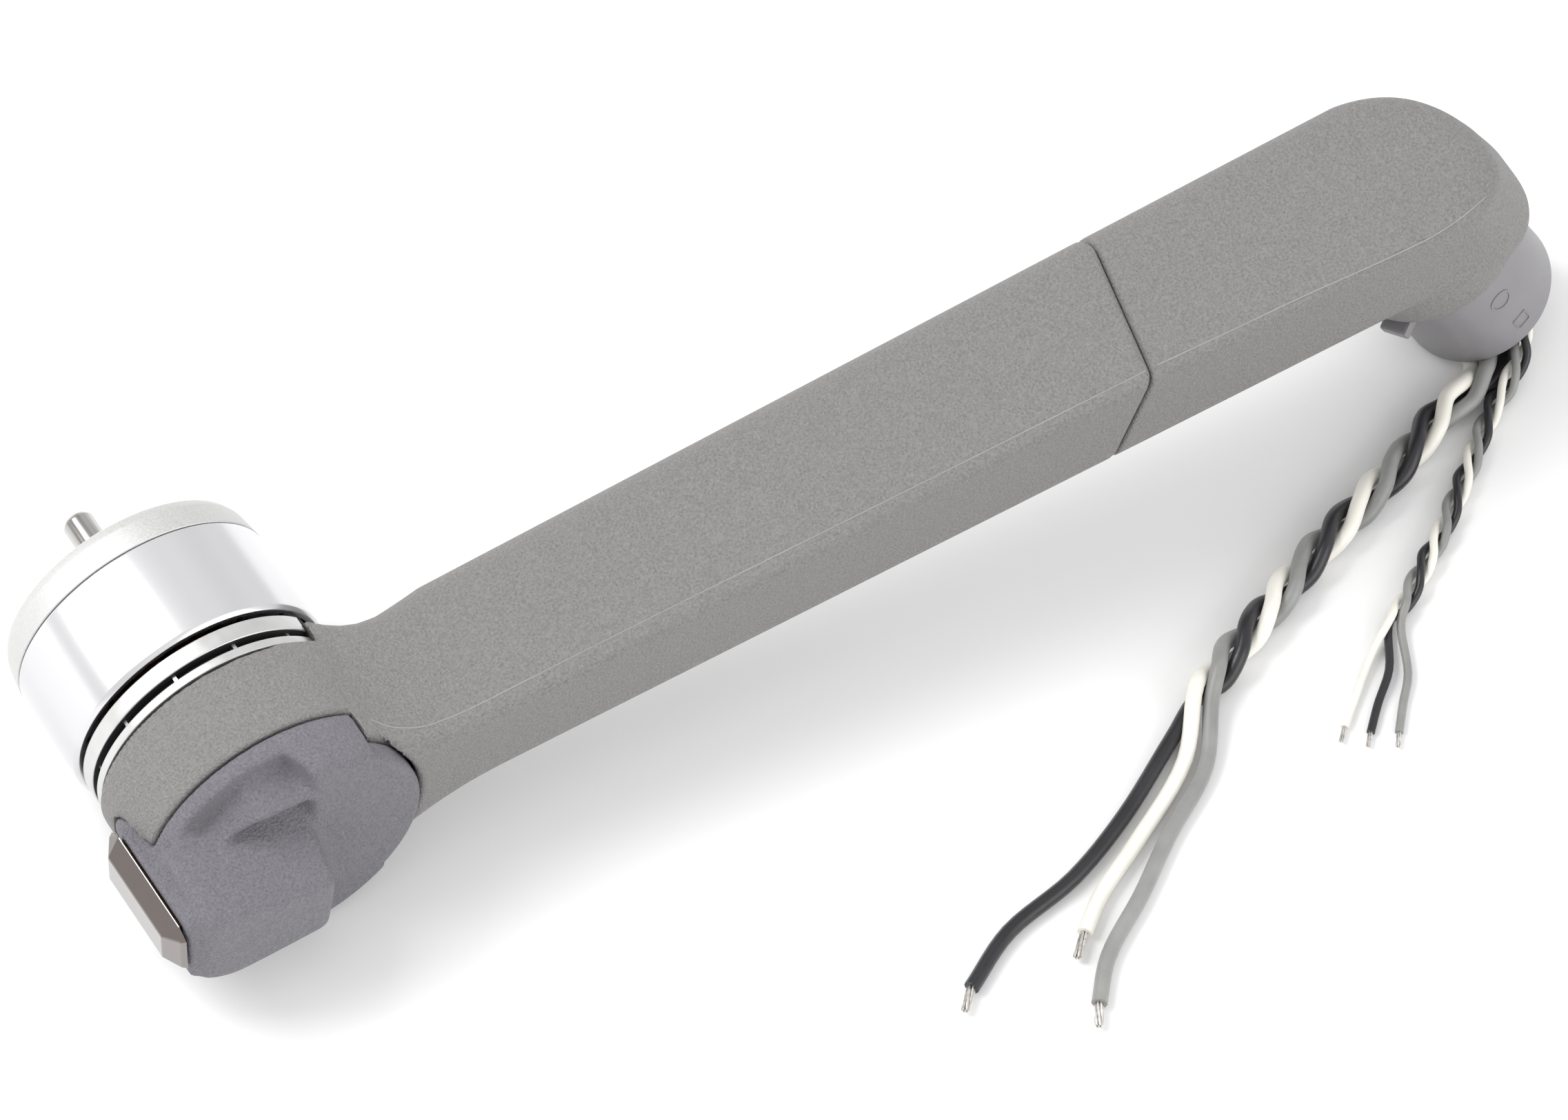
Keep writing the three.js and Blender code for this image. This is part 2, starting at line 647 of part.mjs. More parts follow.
// ---------------------------------------------------------------- free wires, in the part's frame
// Each bundle follows a middle line that lies on the bench, its three wires twisted round
// it, and past the split each wire goes its own way to a bare tip.
const thickBundle = {
  diameter: 1.5,
  twistRadius: 1.06,
  turnsPerStep: 0.21,
  startAngle: { white: 0.2, grey: 0.53, black: 0.87 },
  exits: {
    white: [[67.4, -10.6, 4.9], [66.9, -12.6, 2.5], [66.2, -14.3, 1.05], [65.2, -15.9, 1.1],
      [63.7, -17.1, 2.4]],
    grey: [[68.9, -11, 5.2], [68.4, -13.4, 2.7], [67.4, -15.5, 1.6], [65.8, -17.2, 2.5], [63.7, -18.9, 2]],
    black: [[70, -8.9, 5.4], [70.2, -11.9, 2.9], [69.6, -14.8, 1.1], [67.8, -17, 0.8], [65.6, -17.8, 0.8],
      [63.4, -17.3, 0.8]],
  },
  middle: [[61.4, -18.4, 1.95], [58.7, -19.6, 1.95], [56.1, -20.9, 1.95], [53.5, -22.1, 1.95],
    [50.9, -23.2, 1.95], [48.2, -24.3, 1.95], [45.5, -25.3, 1.95], [42.8, -26.4, 1.95], [40.2, -27.6, 1.95],
    [37.6, -28.9, 1.95], [35.1, -30.1, 1.95], [32.5, -31.3, 1.95], [30, -32.5, 1.95], [27.5, -33.9, 1.95],
    [25.1, -35.2, 1.95]],
  ends: {
    black: [[20.6, -37.6, 1.1], [12.4, -42.8, 0.9], [5, -46.4, 0.9], [-3.2, -48.7, 0.9], [-9.2, -52.3, 0.9]],
    white: [[20.4, -40.2, 1.1], [11.9, -45.8, 0.9], [6.2, -49.2, 0.9], [2.9, -52, 0.9]],
    grey: [[21.8, -41.6, 1.1], [15.1, -46.4, 0.9], [9.6, -50.8, 0.9], [3.5, -55.2, 0.9], [0.2, -59.2, 0.9]],
  },
  tips: { black: [-11, -54.2, 0.9], white: [0.9, -54, 0.9], grey: [-1.1, -61.3, 0.9] },
  tipDiameter: 0.9,
};
const thinBundle = {
  diameter: 0.8,
  twistRadius: 0.66,
  turnsPerStep: 0.2,
  startAngle: { white: 0.78, grey: 0.12, black: 0.45 },
  exits: { white: [], grey: [], black: [] },
  middle: [[71.5, -8.6, 7.6], [71.8, -10.5, 6.1], [71.8, -12.3, 4.6], [71.4, -14, 3.6], [70.8, -15.5, 2.9],
    [69.8, -16.9, 2.3], [68.4, -18.1, 1.8], [67, -19, 1.4], [65.4, -19.9, 1.2], [64, -21, 1.1],
    [62.6, -22.2, 1.1], [61.3, -23.3, 1.1], [60, -24.5, 1.1], [58.6, -25.7, 1.1], [57.2, -26.9, 1.1],
    [55.8, -28.1, 1.1], [54.4, -29.3, 1.1], [52.9, -30.4, 1.1], [51.4, -31.5, 1.1], [49.9, -32.6, 1.1],
    [48.4, -33.7, 1.1], [46.8, -34.8, 1.1], [45.2, -35.9, 1.1]],
  ends: {
    white: [[41.8, -37.8, 0.9], [38.2, -41, 0.5], [35.4, -43.6, 0.5]],
    black: [[42.1, -40.2, 0.7], [39.4, -42.8, 0.5], [37.2, -45.2, 0.5]],
    grey: [[43.4, -41.4, 0.7], [41.4, -43.9, 0.5], [39.5, -46.4, 0.5]],
  },
  tips: { white: [34.3, -44.8, 0.5], black: [36.2, -46.4, 0.5], grey: [38.6, -47.7, 0.5] },
  tipDiameter: 0.5,
};

// One wire of a bundle: out of the barrel, round the middle line by a turn's share at each
// point, then its own way.
function wireRoute(bundle, color) {
  const middle = bundle.middle.map((p) => new THREE.Vector3(...p));
  const twisted = middle.map((point, i) => {
    const ahead = middle[Math.min(i + 1, middle.length - 1)];
    const behind = middle[Math.max(i - 1, 0)];
    const forward = ahead.clone().sub(behind).normalize();
    const side = new THREE.Vector3(forward.y, -forward.x, 0).normalize();
    const up = new THREE.Vector3().crossVectors(side, forward);
    const angle = (bundle.startAngle[color] + i * bundle.turnsPerStep) * 2 * Math.PI;
    const offset = side.multiplyScalar(Math.cos(angle)).addScaledVector(up, Math.sin(angle));
    return point.clone().addScaledVector(offset, bundle.twistRadius).toArray();
  });
  return [...bundle.exits[color], ...twisted, ...bundle.ends[color]];
}

function addBundle(bundle, label) {
  for (const color of ["black", "white", "grey"]) {
    const route = wireRoute(bundle, color);
    const end = new THREE.Vector3(...route[route.length - 1]);
    const tip = new THREE.Vector3(...bundle.tips[color]);
    const tipStart = end.clone().addScaledVector(tip.clone().sub(end).normalize(), GAP);
    const wire = tube(route, circle(bundle.diameter / 2), Math.round(1.5 * route.length));
    addPiece(part, `${label}_${color}`, wire, insulation[color]);
    const bare = tube([tipStart.toArray(), tip.toArray()], circle(bundle.tipDiameter / 2), 1);
    addPiece(part, `${label}_${color}_tip`, bare, tinned);
  }
}

addBundle(thickBundle, "phase_wire");
addBundle(thinBundle, "light_wire");

export default part;
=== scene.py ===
"""Looks for the folding motor arm: textured plastic shells, polished motor, smoked lens and free wires."""
import math

import bmesh
import bpy
import numpy as np
from mathutils import Matrix, Vector


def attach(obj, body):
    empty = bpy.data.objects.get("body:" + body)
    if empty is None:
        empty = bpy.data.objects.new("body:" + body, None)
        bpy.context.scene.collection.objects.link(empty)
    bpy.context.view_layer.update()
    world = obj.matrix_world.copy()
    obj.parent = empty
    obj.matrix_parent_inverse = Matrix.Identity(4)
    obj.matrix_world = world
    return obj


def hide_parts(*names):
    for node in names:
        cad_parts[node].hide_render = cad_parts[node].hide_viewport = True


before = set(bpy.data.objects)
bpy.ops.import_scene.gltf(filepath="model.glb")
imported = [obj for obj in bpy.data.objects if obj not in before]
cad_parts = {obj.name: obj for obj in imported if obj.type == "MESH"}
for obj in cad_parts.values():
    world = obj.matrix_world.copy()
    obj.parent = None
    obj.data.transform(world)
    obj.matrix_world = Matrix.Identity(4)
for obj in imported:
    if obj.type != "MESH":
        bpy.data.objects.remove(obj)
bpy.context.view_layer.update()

# ------------------------------------------------------------------ frames
# Shapes are written in the arm's own frame in millimetres: origin on the motor axis where cap
# and can meet, +X to the hinge, +Y out of the motor cap, +Z out of the broad face.
MM = 0.001
TILT = math.radians(5.59)
ARM_ORIGIN = np.array([-60.26, 10.95, 13.0])
ARM_AXES = np.array([
    [math.cos(TILT), 0, math.sin(TILT)],
    [0, 1, 0],
    [-math.sin(TILT), 0, math.cos(TILT)],
])
HINGE_UP = np.array([-0.353, 0.069, 0.932]) / np.linalg.norm([-0.353, 0.069, 0.932])
HINGE_CENTRE = np.array([123.96, -19.55, -10.74])


def hinge_axes():
    z = HINGE_UP
    x = np.array([1.0, 0, 0]) - z * z[0]
    x /= np.linalg.norm(x)
    return np.array([x, np.cross(z, x), z])


HINGE_AXES = hinge_axes()


def arm_to_part(points):
    return (np.asarray(points, float) @ ARM_AXES + ARM_ORIGIN) * MM


def hinge_to_part(points):
    return arm_to_part(np.asarray(points, float) @ HINGE_AXES + HINGE_CENTRE)


def part_mm(points):
    return np.asarray(points, float) * MM


# ------------------------------------------------------------------ materials
# Colours are linear; noise scales are per metre and bump distances in metres.
def new_material(name, color, roughness, metallic=0.0):
    mat = bpy.data.materials.new(name)
    mat.use_nodes = True
    nodes, links = mat.node_tree.nodes, mat.node_tree.links
    shader = nodes["Principled BSDF"]
    shader.inputs["Base Color"].default_value = (*color, 1)
    shader.inputs["Roughness"].default_value = roughness
    shader.inputs["Metallic"].default_value = metallic
    where = nodes.new("ShaderNodeTexCoord")
    return mat, nodes, links, shader, where.outputs["Object"]


def noise(nodes, links, where, scale, detail=2.0, roughness=0.5, stretch=None):
    source = where
    if stretch:
        mapping = nodes.new("ShaderNodeMapping")
        mapping.inputs["Scale"].default_value = stretch
        links.new(where, mapping.inputs["Vector"])
        source = mapping.outputs["Vector"]
    tex = nodes.new("ShaderNodeTexNoise")
    tex.inputs["Scale"].default_value = scale
    tex.inputs["Detail"].default_value = detail
    tex.inputs["Roughness"].default_value = roughness
    links.new(source, tex.inputs["Vector"])
    return tex.outputs["Fac"]


def ramp(nodes, links, value, low, high, at=(0.3, 0.7)):
    node = nodes.new("ShaderNodeValToRGB")
    node.color_ramp.elements[0].position = at[0]
    node.color_ramp.elements[1].position = at[1]
    node.color_ramp.elements[0].color = (*low, 1)
    node.color_ramp.elements[1].color = (*high, 1)
    links.new(value, node.inputs["Fac"])
    return node.outputs["Color"]


def value_range(nodes, links, value, low, high):
    node = nodes.new("ShaderNodeMapRange")
    node.inputs["To Min"].default_value = low
    node.inputs["To Max"].default_value = high
    links.new(value, node.inputs["Value"])
    return node.outputs["Result"]


def bump(nodes, links, shader, height, strength, distance):
    node = nodes.new("ShaderNodeBump")
    node.inputs["Strength"].default_value = strength
    node.inputs["Distance"].default_value = distance
    links.new(height, node.inputs["Height"])
    links.new(node.outputs["Normal"], shader.inputs["Normal"])


def grained_plastic(name, dark, light):
    """Moulded plastic with the fine pebbled grain of a spark-eroded tool."""
    mat, nodes, links, shader, where = new_material(name, light, 0.6)
    pebbles = noise(nodes, links, where, 3900, 3.0, 0.65)
    patches = noise(nodes, links, where, 60, 3.0)
    links.new(ramp(nodes, links, pebbles, dark, light, (0.3, 0.66)), shader.inputs["Base Color"])
    links.new(value_range(nodes, links, patches, 0.46, 0.6), shader.inputs["Roughness"])
    bump(nodes, links, shader, pebbles, 1.0, 0.0004)
    return mat


def smooth_plastic(name, dark, light, roughness):
    mat, nodes, links, shader, where = new_material(name, light, roughness)
    cloud = noise(nodes, links, where, 120, 3.0)
    fine = noise(nodes, links, where, 2600, 2.0)
    links.new(ramp(nodes, links, cloud, dark, light), shader.inputs["Base Color"])
    rough = value_range(nodes, links, fine, roughness - 0.06, roughness + 0.06)
    links.new(rough, shader.inputs["Roughness"])
    bump(nodes, links, shader, fine, 0.12, 0.00004)
    return mat


def metal(name, dark, light, roughness, grain=900, stretch=None, strength=0.06):
    """Bare metal; stretch draws the noise out into turning or rolling lines, and on the can into painted
    reflection streaks along its axis.
    """
    mat, nodes, links, shader, where = new_material(name, light, roughness, 1.0)
    lines = noise(nodes, links, where, grain, 2.0, 0.5, stretch)
    links.new(ramp(nodes, links, lines, dark, light, (0.25, 0.75)), shader.inputs["Base Color"])
    rough = value_range(nodes, links, lines, roughness * 0.75, roughness * 1.3)
    links.new(rough, shader.inputs["Roughness"])
    bump(nodes, links, shader, lines, strength, 0.00003)
    return mat


def lens_material():
    mat, nodes, links, shader, where = new_material("smoked_lens", (0.03, 0.014, 0.008), 0.04)
    shader.inputs["Coat Weight"].default_value = 1.0
    shader.inputs["Coat Roughness"].default_value = 0.02
    shader.inputs["Coat IOR"].default_value = 2.0
    shader.inputs["IOR"].default_value = 1.6
    depth = noise(nodes, links, where, 160, 2.0)
    brown = ramp(nodes, links, depth, (0.02, 0.01, 0.006), (0.05, 0.022, 0.012))
    links.new(brown, shader.inputs["Base Color"])
    bump(nodes, links, shader, depth, 0.01, 0.00005)
    return mat


def wire_material(name, dark, light, roughness):
    mat, nodes, links, shader, where = new_material(name, light, roughness)
    shader.inputs["Sheen Weight"].default_value = 0.08
    cloud = noise(nodes, links, where, 260, 3.0)
    fine = noise(nodes, links, where, 3200, 2.0)
    links.new(ramp(nodes, links, cloud, dark, light), shader.inputs["Base Color"])
    rough = value_range(nodes, links, fine, roughness - 0.08, roughness + 0.1)
    links.new(rough, shader.inputs["Roughness"])
    bump(nodes, links, shader, fine, 0.1, 0.00003)
    return mat


arm_plastic = grained_plastic("arm_plastic", (0.176, 0.172, 0.169), (0.274, 0.267, 0.263))
cover_plastic = grained_plastic("cover_plastic", (0.134, 0.13, 0.147), (0.214, 0.207, 0.231))
# The mould lines are real raised lines, but their lighter colour is a painted highlight along them.
mould_line_painted_highlight = smooth_plastic("mould_line_painted_highlight", (0.25, 0.245, 0.24), (0.3, 0.295, 0.29), 0.5)
barrel_plastic = smooth_plastic("barrel_plastic", (0.195, 0.188, 0.196), (0.215, 0.208, 0.216), 0.4)
cap_metal = metal("cap_metal", (0.58, 0.58, 0.575), (0.68, 0.68, 0.675), 0.6, 5000, None, 0.35)
# The can's colour noise, drawn out along the motor axis, paints soft grey reflection streaks.
can_metal = metal("can_metal", (0.62, 0.62, 0.635), (0.78, 0.78, 0.79), 0.22, 130, (1, 0.02, 1), 0.01)
ring_metal = metal("ring_metal", (0.6, 0.6, 0.595), (0.66, 0.66, 0.655), 0.38, 700, None, 0.04)
steel = metal("steel", (0.4, 0.39, 0.37), (0.62, 0.61, 0.59), 0.2, 700, (1, 0.08, 1), 0.08)
shaft_steel = metal("shaft_steel", (0.16, 0.15, 0.14), (0.7, 0.69, 0.67), 0.16, 900, (1, 0.03, 1), 0.05)
magnet_metal = metal("magnet_metal", (0.35, 0.35, 0.36), (0.5, 0.5, 0.52), 0.3)
laminations = metal("laminations", (0.06, 0.06, 0.07), (0.12, 0.12, 0.13), 0.5, 400, (0.1, 9, 0.1), 0.3)
copper = metal("copper", (0.2, 0.07, 0.03), (0.42, 0.17, 0.08), 0.35, 900, (1, 6, 1), 0.4)
tinned = metal("tinned", (0.5, 0.48, 0.45), (0.82, 0.8, 0.77), 0.3, 2400, None, 0.5)
# Near black: painted shade for the groove between the motor base's rims.
groove_shade = smooth_plastic("groove_shade", (0.012, 0.012, 0.013), (0.022, 0.022, 0.024), 0.6)
board_green = smooth_plastic("board_green", (0.02, 0.12, 0.05), (0.04, 0.2, 0.08), 0.35)
nylon = smooth_plastic("nylon", (0.7, 0.68, 0.62), (0.8, 0.78, 0.72), 0.45)
smoked_lens = lens_material()
insulation = {
    "black": wire_material("black_insulation", (0.006, 0.006, 0.008), (0.016, 0.016, 0.02), 0.36),
    "white": wire_material("white_insulation", (0.72, 0.7, 0.63), (0.8, 0.78, 0.72), 0.42),
    "grey": wire_material("grey_insulation", (0.2, 0.2, 0.195), (0.27, 0.27, 0.262), 0.4),
}


# ------------------------------------------------------------------ meshes
def make_object(name, vertices, faces, material, smooth=True, angle=35):
    mesh = bpy.data.meshes.new(name)
    corners = [tuple(int(i) for i in face) for face in faces]
    mesh.from_pydata([tuple(v) for v in vertices], [], corners)
    mesh.validate()
    obj = bpy.data.objects.new(name, mesh)
    bpy.context.scene.collection.objects.link(obj)
    mesh.materials.append(material)
    if smooth:
        mesh.polygons.foreach_set("use_smooth", [True] * len(mesh.polygons))
        mesh.set_sharp_from_angle(angle=math.radians(angle))
    return obj


def place(obj, body, slot, *nodes):
    """Puts a piece on its body and hides the CAD nodes that it stands for."""
    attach(obj, body)
    if nodes:
        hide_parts(*nodes)
    return obj


def rounded_profile(profile, radius):
    """A closed profile with every corner rounded by up to radius."""
    arc_steps = 3
    points = [np.array(p, float) for p in profile]
    made = []
    for i, here in enumerate(points):
        before, after = points[i - 1], points[(i + 1) % len(points)]
        to_before, to_after = before - here, after - here
        length_before, length_after = np.linalg.norm(to_before), np.linalg.norm(to_after)
        on_axis = here[0] < 1e-6
        r = min(radius, length_before * 0.45, length_after * 0.45)
        if on_axis or r < 1e-4:
            made.append(here)
            continue
        start, end = here + to_before / length_before * r, here + to_after / length_after * r
        for k in range(arc_steps + 1):
            t = k / arc_steps
            made.append((1 - t) ** 2 * start + 2 * t * (1 - t) * here + t * t * end)
    return made


def lathe(name, profile, material, to_part, segments, radius, along="y"):
    """A closed profile of (radius, height) turned about the motor axis or the hinge axis."""
    points = rounded_profile(profile, radius)
    angles = np.linspace(0, 2 * math.pi, segments, endpoint=False)
    vertices, rows = [], []
    for r, h in points:
        if r < 1e-6:
            rows.append([len(vertices)] * segments)
            vertices.append((0, h, 0) if along == "y" else (0, 0, h))
            continue
        rows.append(list(range(len(vertices), len(vertices) + segments)))
        for a in angles:
            c, s = r * math.cos(a), r * math.sin(a)
            vertices.append((c, h, -s) if along == "y" else (c, s, h))
    faces = []
    for i, row in enumerate(rows):
        following = rows[(i + 1) % len(rows)]
        if row[0] == row[1] and following[0] == following[1]:
            continue
        for k in range(segments):
            j = (k + 1) % segments
            corners = [row[k], row[j], following[j], following[k]]
            kept = [c for n, c in enumerate(corners) if c != corners[n - 1]]
            if len(kept) > 2:
                faces.append(kept)
    obj = make_object(name, to_part(np.array(vertices, float)), faces, material)
    face_outwards(obj)
    return obj


def face_outwards(obj):
    bm = bmesh.new()
    bm.from_mesh(obj.data)
    bmesh.ops.recalc_face_normals(bm, faces=bm.faces)
    bm.to_mesh(obj.data)
    bm.free()


# ------------------------------------------------------------------ distance fields
# A field is negative inside its solid; k is the width in mm over which two fields blend.
def smin(a, b, k):
    h = np.clip(0.5 + 0.5 * (b - a) / k, 0, 1)
    return b * (1 - h) + a * h - k * h * (1 - h)


def smax(a, b, k):
    return -smin(-a, -b, k)


def cut(body, hole, k=0.3):
    return smax(body, -hole, k)


def smoothstep(low, high, x):
    t = np.clip((x - low) / (high - low), 0, 1)
    return t * t * (3 - 2 * t)


def both(a, b, radius):
    """The overlap of two fields, its edge rounded by radius, which may be an array."""
    qa, qb = a + radius, b + radius
    inside = np.minimum(np.maximum(qa, qb), 0)
    return inside + np.sqrt(np.maximum(qa, 0) ** 2 + np.maximum(qb, 0) ** 2) - radius


def cylinder_y(x, y, z, radius, low, high, edge=0.3):
    return both(np.hypot(x, z) - radius, np.maximum(low - y, y - high), edge)


def box_field(x, y, z, low, high, edge=0.2):
    d = [np.maximum(lo - v, v - hi) for v, lo, hi in zip((x, y, z), low, high)]
    return both(both(d[0], d[1], edge), d[2], edge)


def convex_planes(points):
    """Outward normals and offsets of a point set's convex hull."""
    bm = bmesh.new()
    for p in points:
        bm.verts.new(p)
    hull = bmesh.ops.convex_hull(bm, input=bm.verts)
    faces = [f for f in hull["geom"] if isinstance(f, bmesh.types.BMFace)]
    centre = np.mean(np.array(points, float), axis=0)
    planes = []
    for f in faces:
        n = np.array(f.normal)
        at = np.array(f.verts[0].co)
        if np.dot(n, at - centre) < 0:
            n = -n
        if not any(np.dot(n, m) > 0.9999 for m, _ in planes):
            planes.append((n, float(np.dot(n, at))))
    bm.free()
    return planes


def convex_field(x, y, z, planes, edge):
    """Distance to a convex solid, its edges rounded: the planes' soft maximum."""
    d = np.stack([n[0] * x + n[1] * y + n[2] * z - o for n, o in planes])
    top = d.max(axis=0)
    return top + edge * np.log(np.exp((d - top) / edge).sum(axis=0)) - edge * 0.3


def net(field, xs, ys, zs, warp=None):
    """Surface nets: a vertex in each grid cell that the surface crosses, the mean of its edge
    crossings, and a quad round each crossed edge; then settled onto the field's zero."""
    grid = np.meshgrid(xs, ys, zs, indexing="ij")
    if warp:
        grid = warp(*grid)
    values = field(*grid)
    axes = (xs, ys, zs)
    shape = tuple(len(a) - 1 for a in axes)
    total, count = np.zeros((*shape, 3)), np.zeros(shape)
    for axis in range(3):
        others = [a for a in range(3) if a != axis]
        for i in (0, 1):
            for j in (0, 1):
                start = [0, 0, 0]
                start[others[0]], start[others[1]] = i, j
                end = list(start)
                end[axis] = 1
                near = tuple(slice(s, s + n) for s, n in zip(start, shape))
                far = tuple(slice(s, s + n) for s, n in zip(end, shape))
                a, b = values[near], values[far]
                crossed = (a < 0) != (b < 0)
                t = np.where(crossed, a / np.where(crossed, a - b, 1), 0)
                for c in range(3):
                    at = grid[c][near] + t * (grid[c][far] - grid[c][near])
                    total[..., c] += np.where(crossed, at, 0)
                count += crossed
    active = count > 0
    number = np.cumsum(active).reshape(shape) - 1
    vertices = total[active] / count[active][:, None]
    faces = []
    for axis in range(3):
        o1, o2 = [a for a in range(3) if a != axis]
        low, high = [slice(None)] * 3, [slice(None)] * 3
        low[axis], high[axis] = slice(0, -1), slice(1, None)
        a, b = values[tuple(low)], values[tuple(high)]
        crossed = (a < 0) != (b < 0)
        inner = [slice(None)] * 3
        inner[o1], inner[o2] = slice(1, -1), slice(1, -1)
        inner = tuple(inner)
        index = np.argwhere(crossed[inner])
        index[:, o1] += 1
        index[:, o2] += 1
        inside_first = a[tuple(index.T)] < 0
        corners = []
        for d1, d2 in ((0, 0), (-1, 0), (-1, -1), (0, -1)):
            at = index.copy()
            at[:, o1] += d1
            at[:, o2] += d2
            corners.append(number[tuple(at.T)])
        quads = np.stack(corners, axis=1)
        flip = inside_first if axis != 1 else ~inside_first
        quads[~flip] = quads[~flip][:, ::-1]
        faces.append(quads)
    faces = np.concatenate(faces)
    return settle(field, vertices, faces), faces


def settle(field, vertices, faces, rounds=4):
    """Evens out the vertices along the surface without leaving it."""
    edges = np.concatenate([faces[:, [k, (k + 1) % 4]] for k in range(4)])
    edges = np.concatenate([edges, edges[:, ::-1]])
    start, end, n = edges[:, 0], edges[:, 1], len(vertices)
    neighbours = np.bincount(start, minlength=n)[:, None]
    for _ in range(rounds):
        sums = [np.bincount(start, weights=vertices[end, c], minlength=n) for c in range(3)]
        mean = np.stack(sums, axis=1) / neighbours
        vertices = vertices + 0.5 * (mean - vertices)
        vertices = pull_back(field, pull_back(field, vertices))
    return vertices


def pull_back(field, vertices, reach=0.25, h=0.02):
    """One step towards the field's zero, down its slope."""
    here = field(*vertices.T)
    slope = np.stack([
        (field(*(vertices + h * e).T) - field(*(vertices - h * e).T)) / (2 * h) for e in np.eye(3)
    ], axis=1)
    size = np.maximum((slope ** 2).sum(axis=1), 0.05)
    step = np.clip(here / size, -reach, reach)
    return vertices - slope * step[:, None]


def shell(name, field, xs, ys, zs, material, slot, node, warp=None):
    """The surface of a field in the arm's frame, standing for one CAD node."""
    vertices, faces = net(field, xs, ys, zs, warp)
    obj = make_object(name, arm_to_part(vertices), faces, material, angle=60)
    face_outwards(obj)
    return place(obj, "arm", slot, node)


def grid_lines(*parts):
    """Grid lines: (from, to, spacing) parts end to end."""
    lines = []
    for low, high, spacing in parts:
        n = max(1, round((high - low) / spacing))
        lines.extend(np.linspace(low, high, n, endpoint=False))
    lines.append(parts[-1][1])
    return np.array(lines)


# ------------------------------------------------------------------ the arm's shape
# The driving sizes are those of the CAD solids, in mm in the arm's frame.
GAP = 0.3
BELL_RADIUS = 13.0
POD_TOP, POD_RIM, POD_STEP_RIM = -14.8, -23.3, -26.3
POD_INNER, WEB_TOP, WEB_BOTTOM = 11.6, -16.3, -17.8
TUBE_HOLE, SCREW_CIRCLE, SCREW_HOLE = 4.5, 7.5, 1.3
CUT_X = 9.9
COVER_BOTTOM, FOOT_BOTTOM, COVER_BACK, COVER_STEP_X = -29.0, -34.1, 12.6, 8.3
TONGUE_ARCH_Y, TONGUE_HALF, TONGUE_FLARE = -20.2, 2.7, 0.31
SCOOP_TOP = -25.3
ARM_BOTTOM, ARM_FRONT, NEAR_X, FAR_X = -28.1, 5.6, 16.0, 117.0
NEAR_TOP, NEAR_BACK, FAR_TOP, FAR_BACK = -11.5, -5.7, -10.1, -7.0
NECK_FROM, NECK_TO, NECK_SPREAD = 8.4, 22.0, 3.9
WALL, CHANNEL_WALL = 1.3, 2.6
SEAM_X, SEAM_PER_Y, SEAM_PER_Z, SPIGOT = 90.0, 0.17, 0.42, 8.0
NECK_TOP_X = [6, 8.4, 10.6, 12, 13.4, 15, 17, 19.5, 22]
NECK_TOP_LIFT = [0.4, 0.4, 0.15, -0.4, -0.8, -1, -0.9, -0.4, 0]
LEAN = HINGE_UP[0] / HINGE_UP[2]
ROUND_X, ROUND_UPPER, ROUND_LOWER = 117.4, 11.6, 6.4
STRAIGHT_TO, ROUND_FROM, CHANNEL_TO = 112, 108, 116
COLLAR_HEIGHTS, COLLAR_RADII, COLLAR_WIDER = [0, 2, 5, 9, 11], [8.15, 8.6, 9.0, 8.6, 7.0], 1.07
HINGE_BORE = 5.6


def beam_field(x, y, z, inset=0.0):
    """The arm's rounded section, wider and more bevelled towards the pod."""
    share = np.clip((x - NEAR_X) / (FAR_X - NEAR_X), -0.1, 1.2)
    spread = NECK_SPREAD * np.clip((NECK_TO - x) / (NECK_TO - NECK_FROM), 0, 1.15) ** 2.2
    lift = np.interp(x, NECK_TOP_X, NECK_TOP_LIFT)
    if inset:
        spread = 0
    low = ARM_BOTTOM + inset
    high = NEAR_TOP + (FAR_TOP - NEAR_TOP) * share - inset + lift
    back = NEAR_BACK + (FAR_BACK - NEAR_BACK) * share + inset - spread
    front = ARM_FRONT - inset + spread
    py, pz = y - (low + high) / 2, z - (back + front) / 2
    top_corner, front_corner, back_corner = 3.9 - 0.65 * spread, 1.3 + 0.7 * spread, 3.0 + 0 * x
    radius = np.where(py > 0, top_corner, np.where(pz > 0, front_corner, back_corner))
    radius = np.maximum(radius - inset, 0.3)
    qy, qz = np.abs(py) - (high - low) / 2 + radius, np.abs(pz) - (front - back) / 2 + radius
    outside = np.sqrt(np.maximum(qy, 0) ** 2 + np.maximum(qz, 0) ** 2)
    return np.minimum(np.maximum(qy, qz), 0) + outside - radius


def seam_field(x, y, z, clear):
    """Negative on the motor's side of the slanted seam."""
    seam = SEAM_X - clear + SEAM_PER_Y * (y - ARM_BOTTOM) + SEAM_PER_Z * (z - ARM_FRONT)
    return (x - seam) / math.hypot(1, SEAM_PER_Y, SEAM_PER_Z)


def along_seam(x, y, z):
    """Leans the grid's planes near the seam so that one of them lies in it."""
    lean = SEAM_PER_Y * (y - ARM_BOTTOM) + SEAM_PER_Z * (z - ARM_FRONT)
    return [x + lean * np.exp(-((x - SEAM_X) / 13) ** 2), y, z]


def tongue_field(y, z, grow=0.0):
    """The arched tongue of the cover, seen from the tip: negative inside."""
    half = TONGUE_HALF + TONGUE_FLARE * np.maximum(TONGUE_ARCH_Y - y, 0)
    arch = np.hypot(np.maximum(y - TONGUE_ARCH_Y, 0), z) - TONGUE_HALF
    return np.where(y > TONGUE_ARCH_Y, arch, (np.abs(z) - half) * 0.95) - grow


def screw_field(x, z):
    """The three screw holes through the pod's web."""
    angles = [math.pi / 6 + k * 2 * math.pi / 3 for k in range(3)]
    centres = [(SCREW_CIRCLE * math.cos(a), -SCREW_CIRCLE * math.sin(a)) for a in angles]
    return np.min([np.hypot(x - cx, z - cz) for cx, cz in centres], axis=0) - SCREW_HOLE


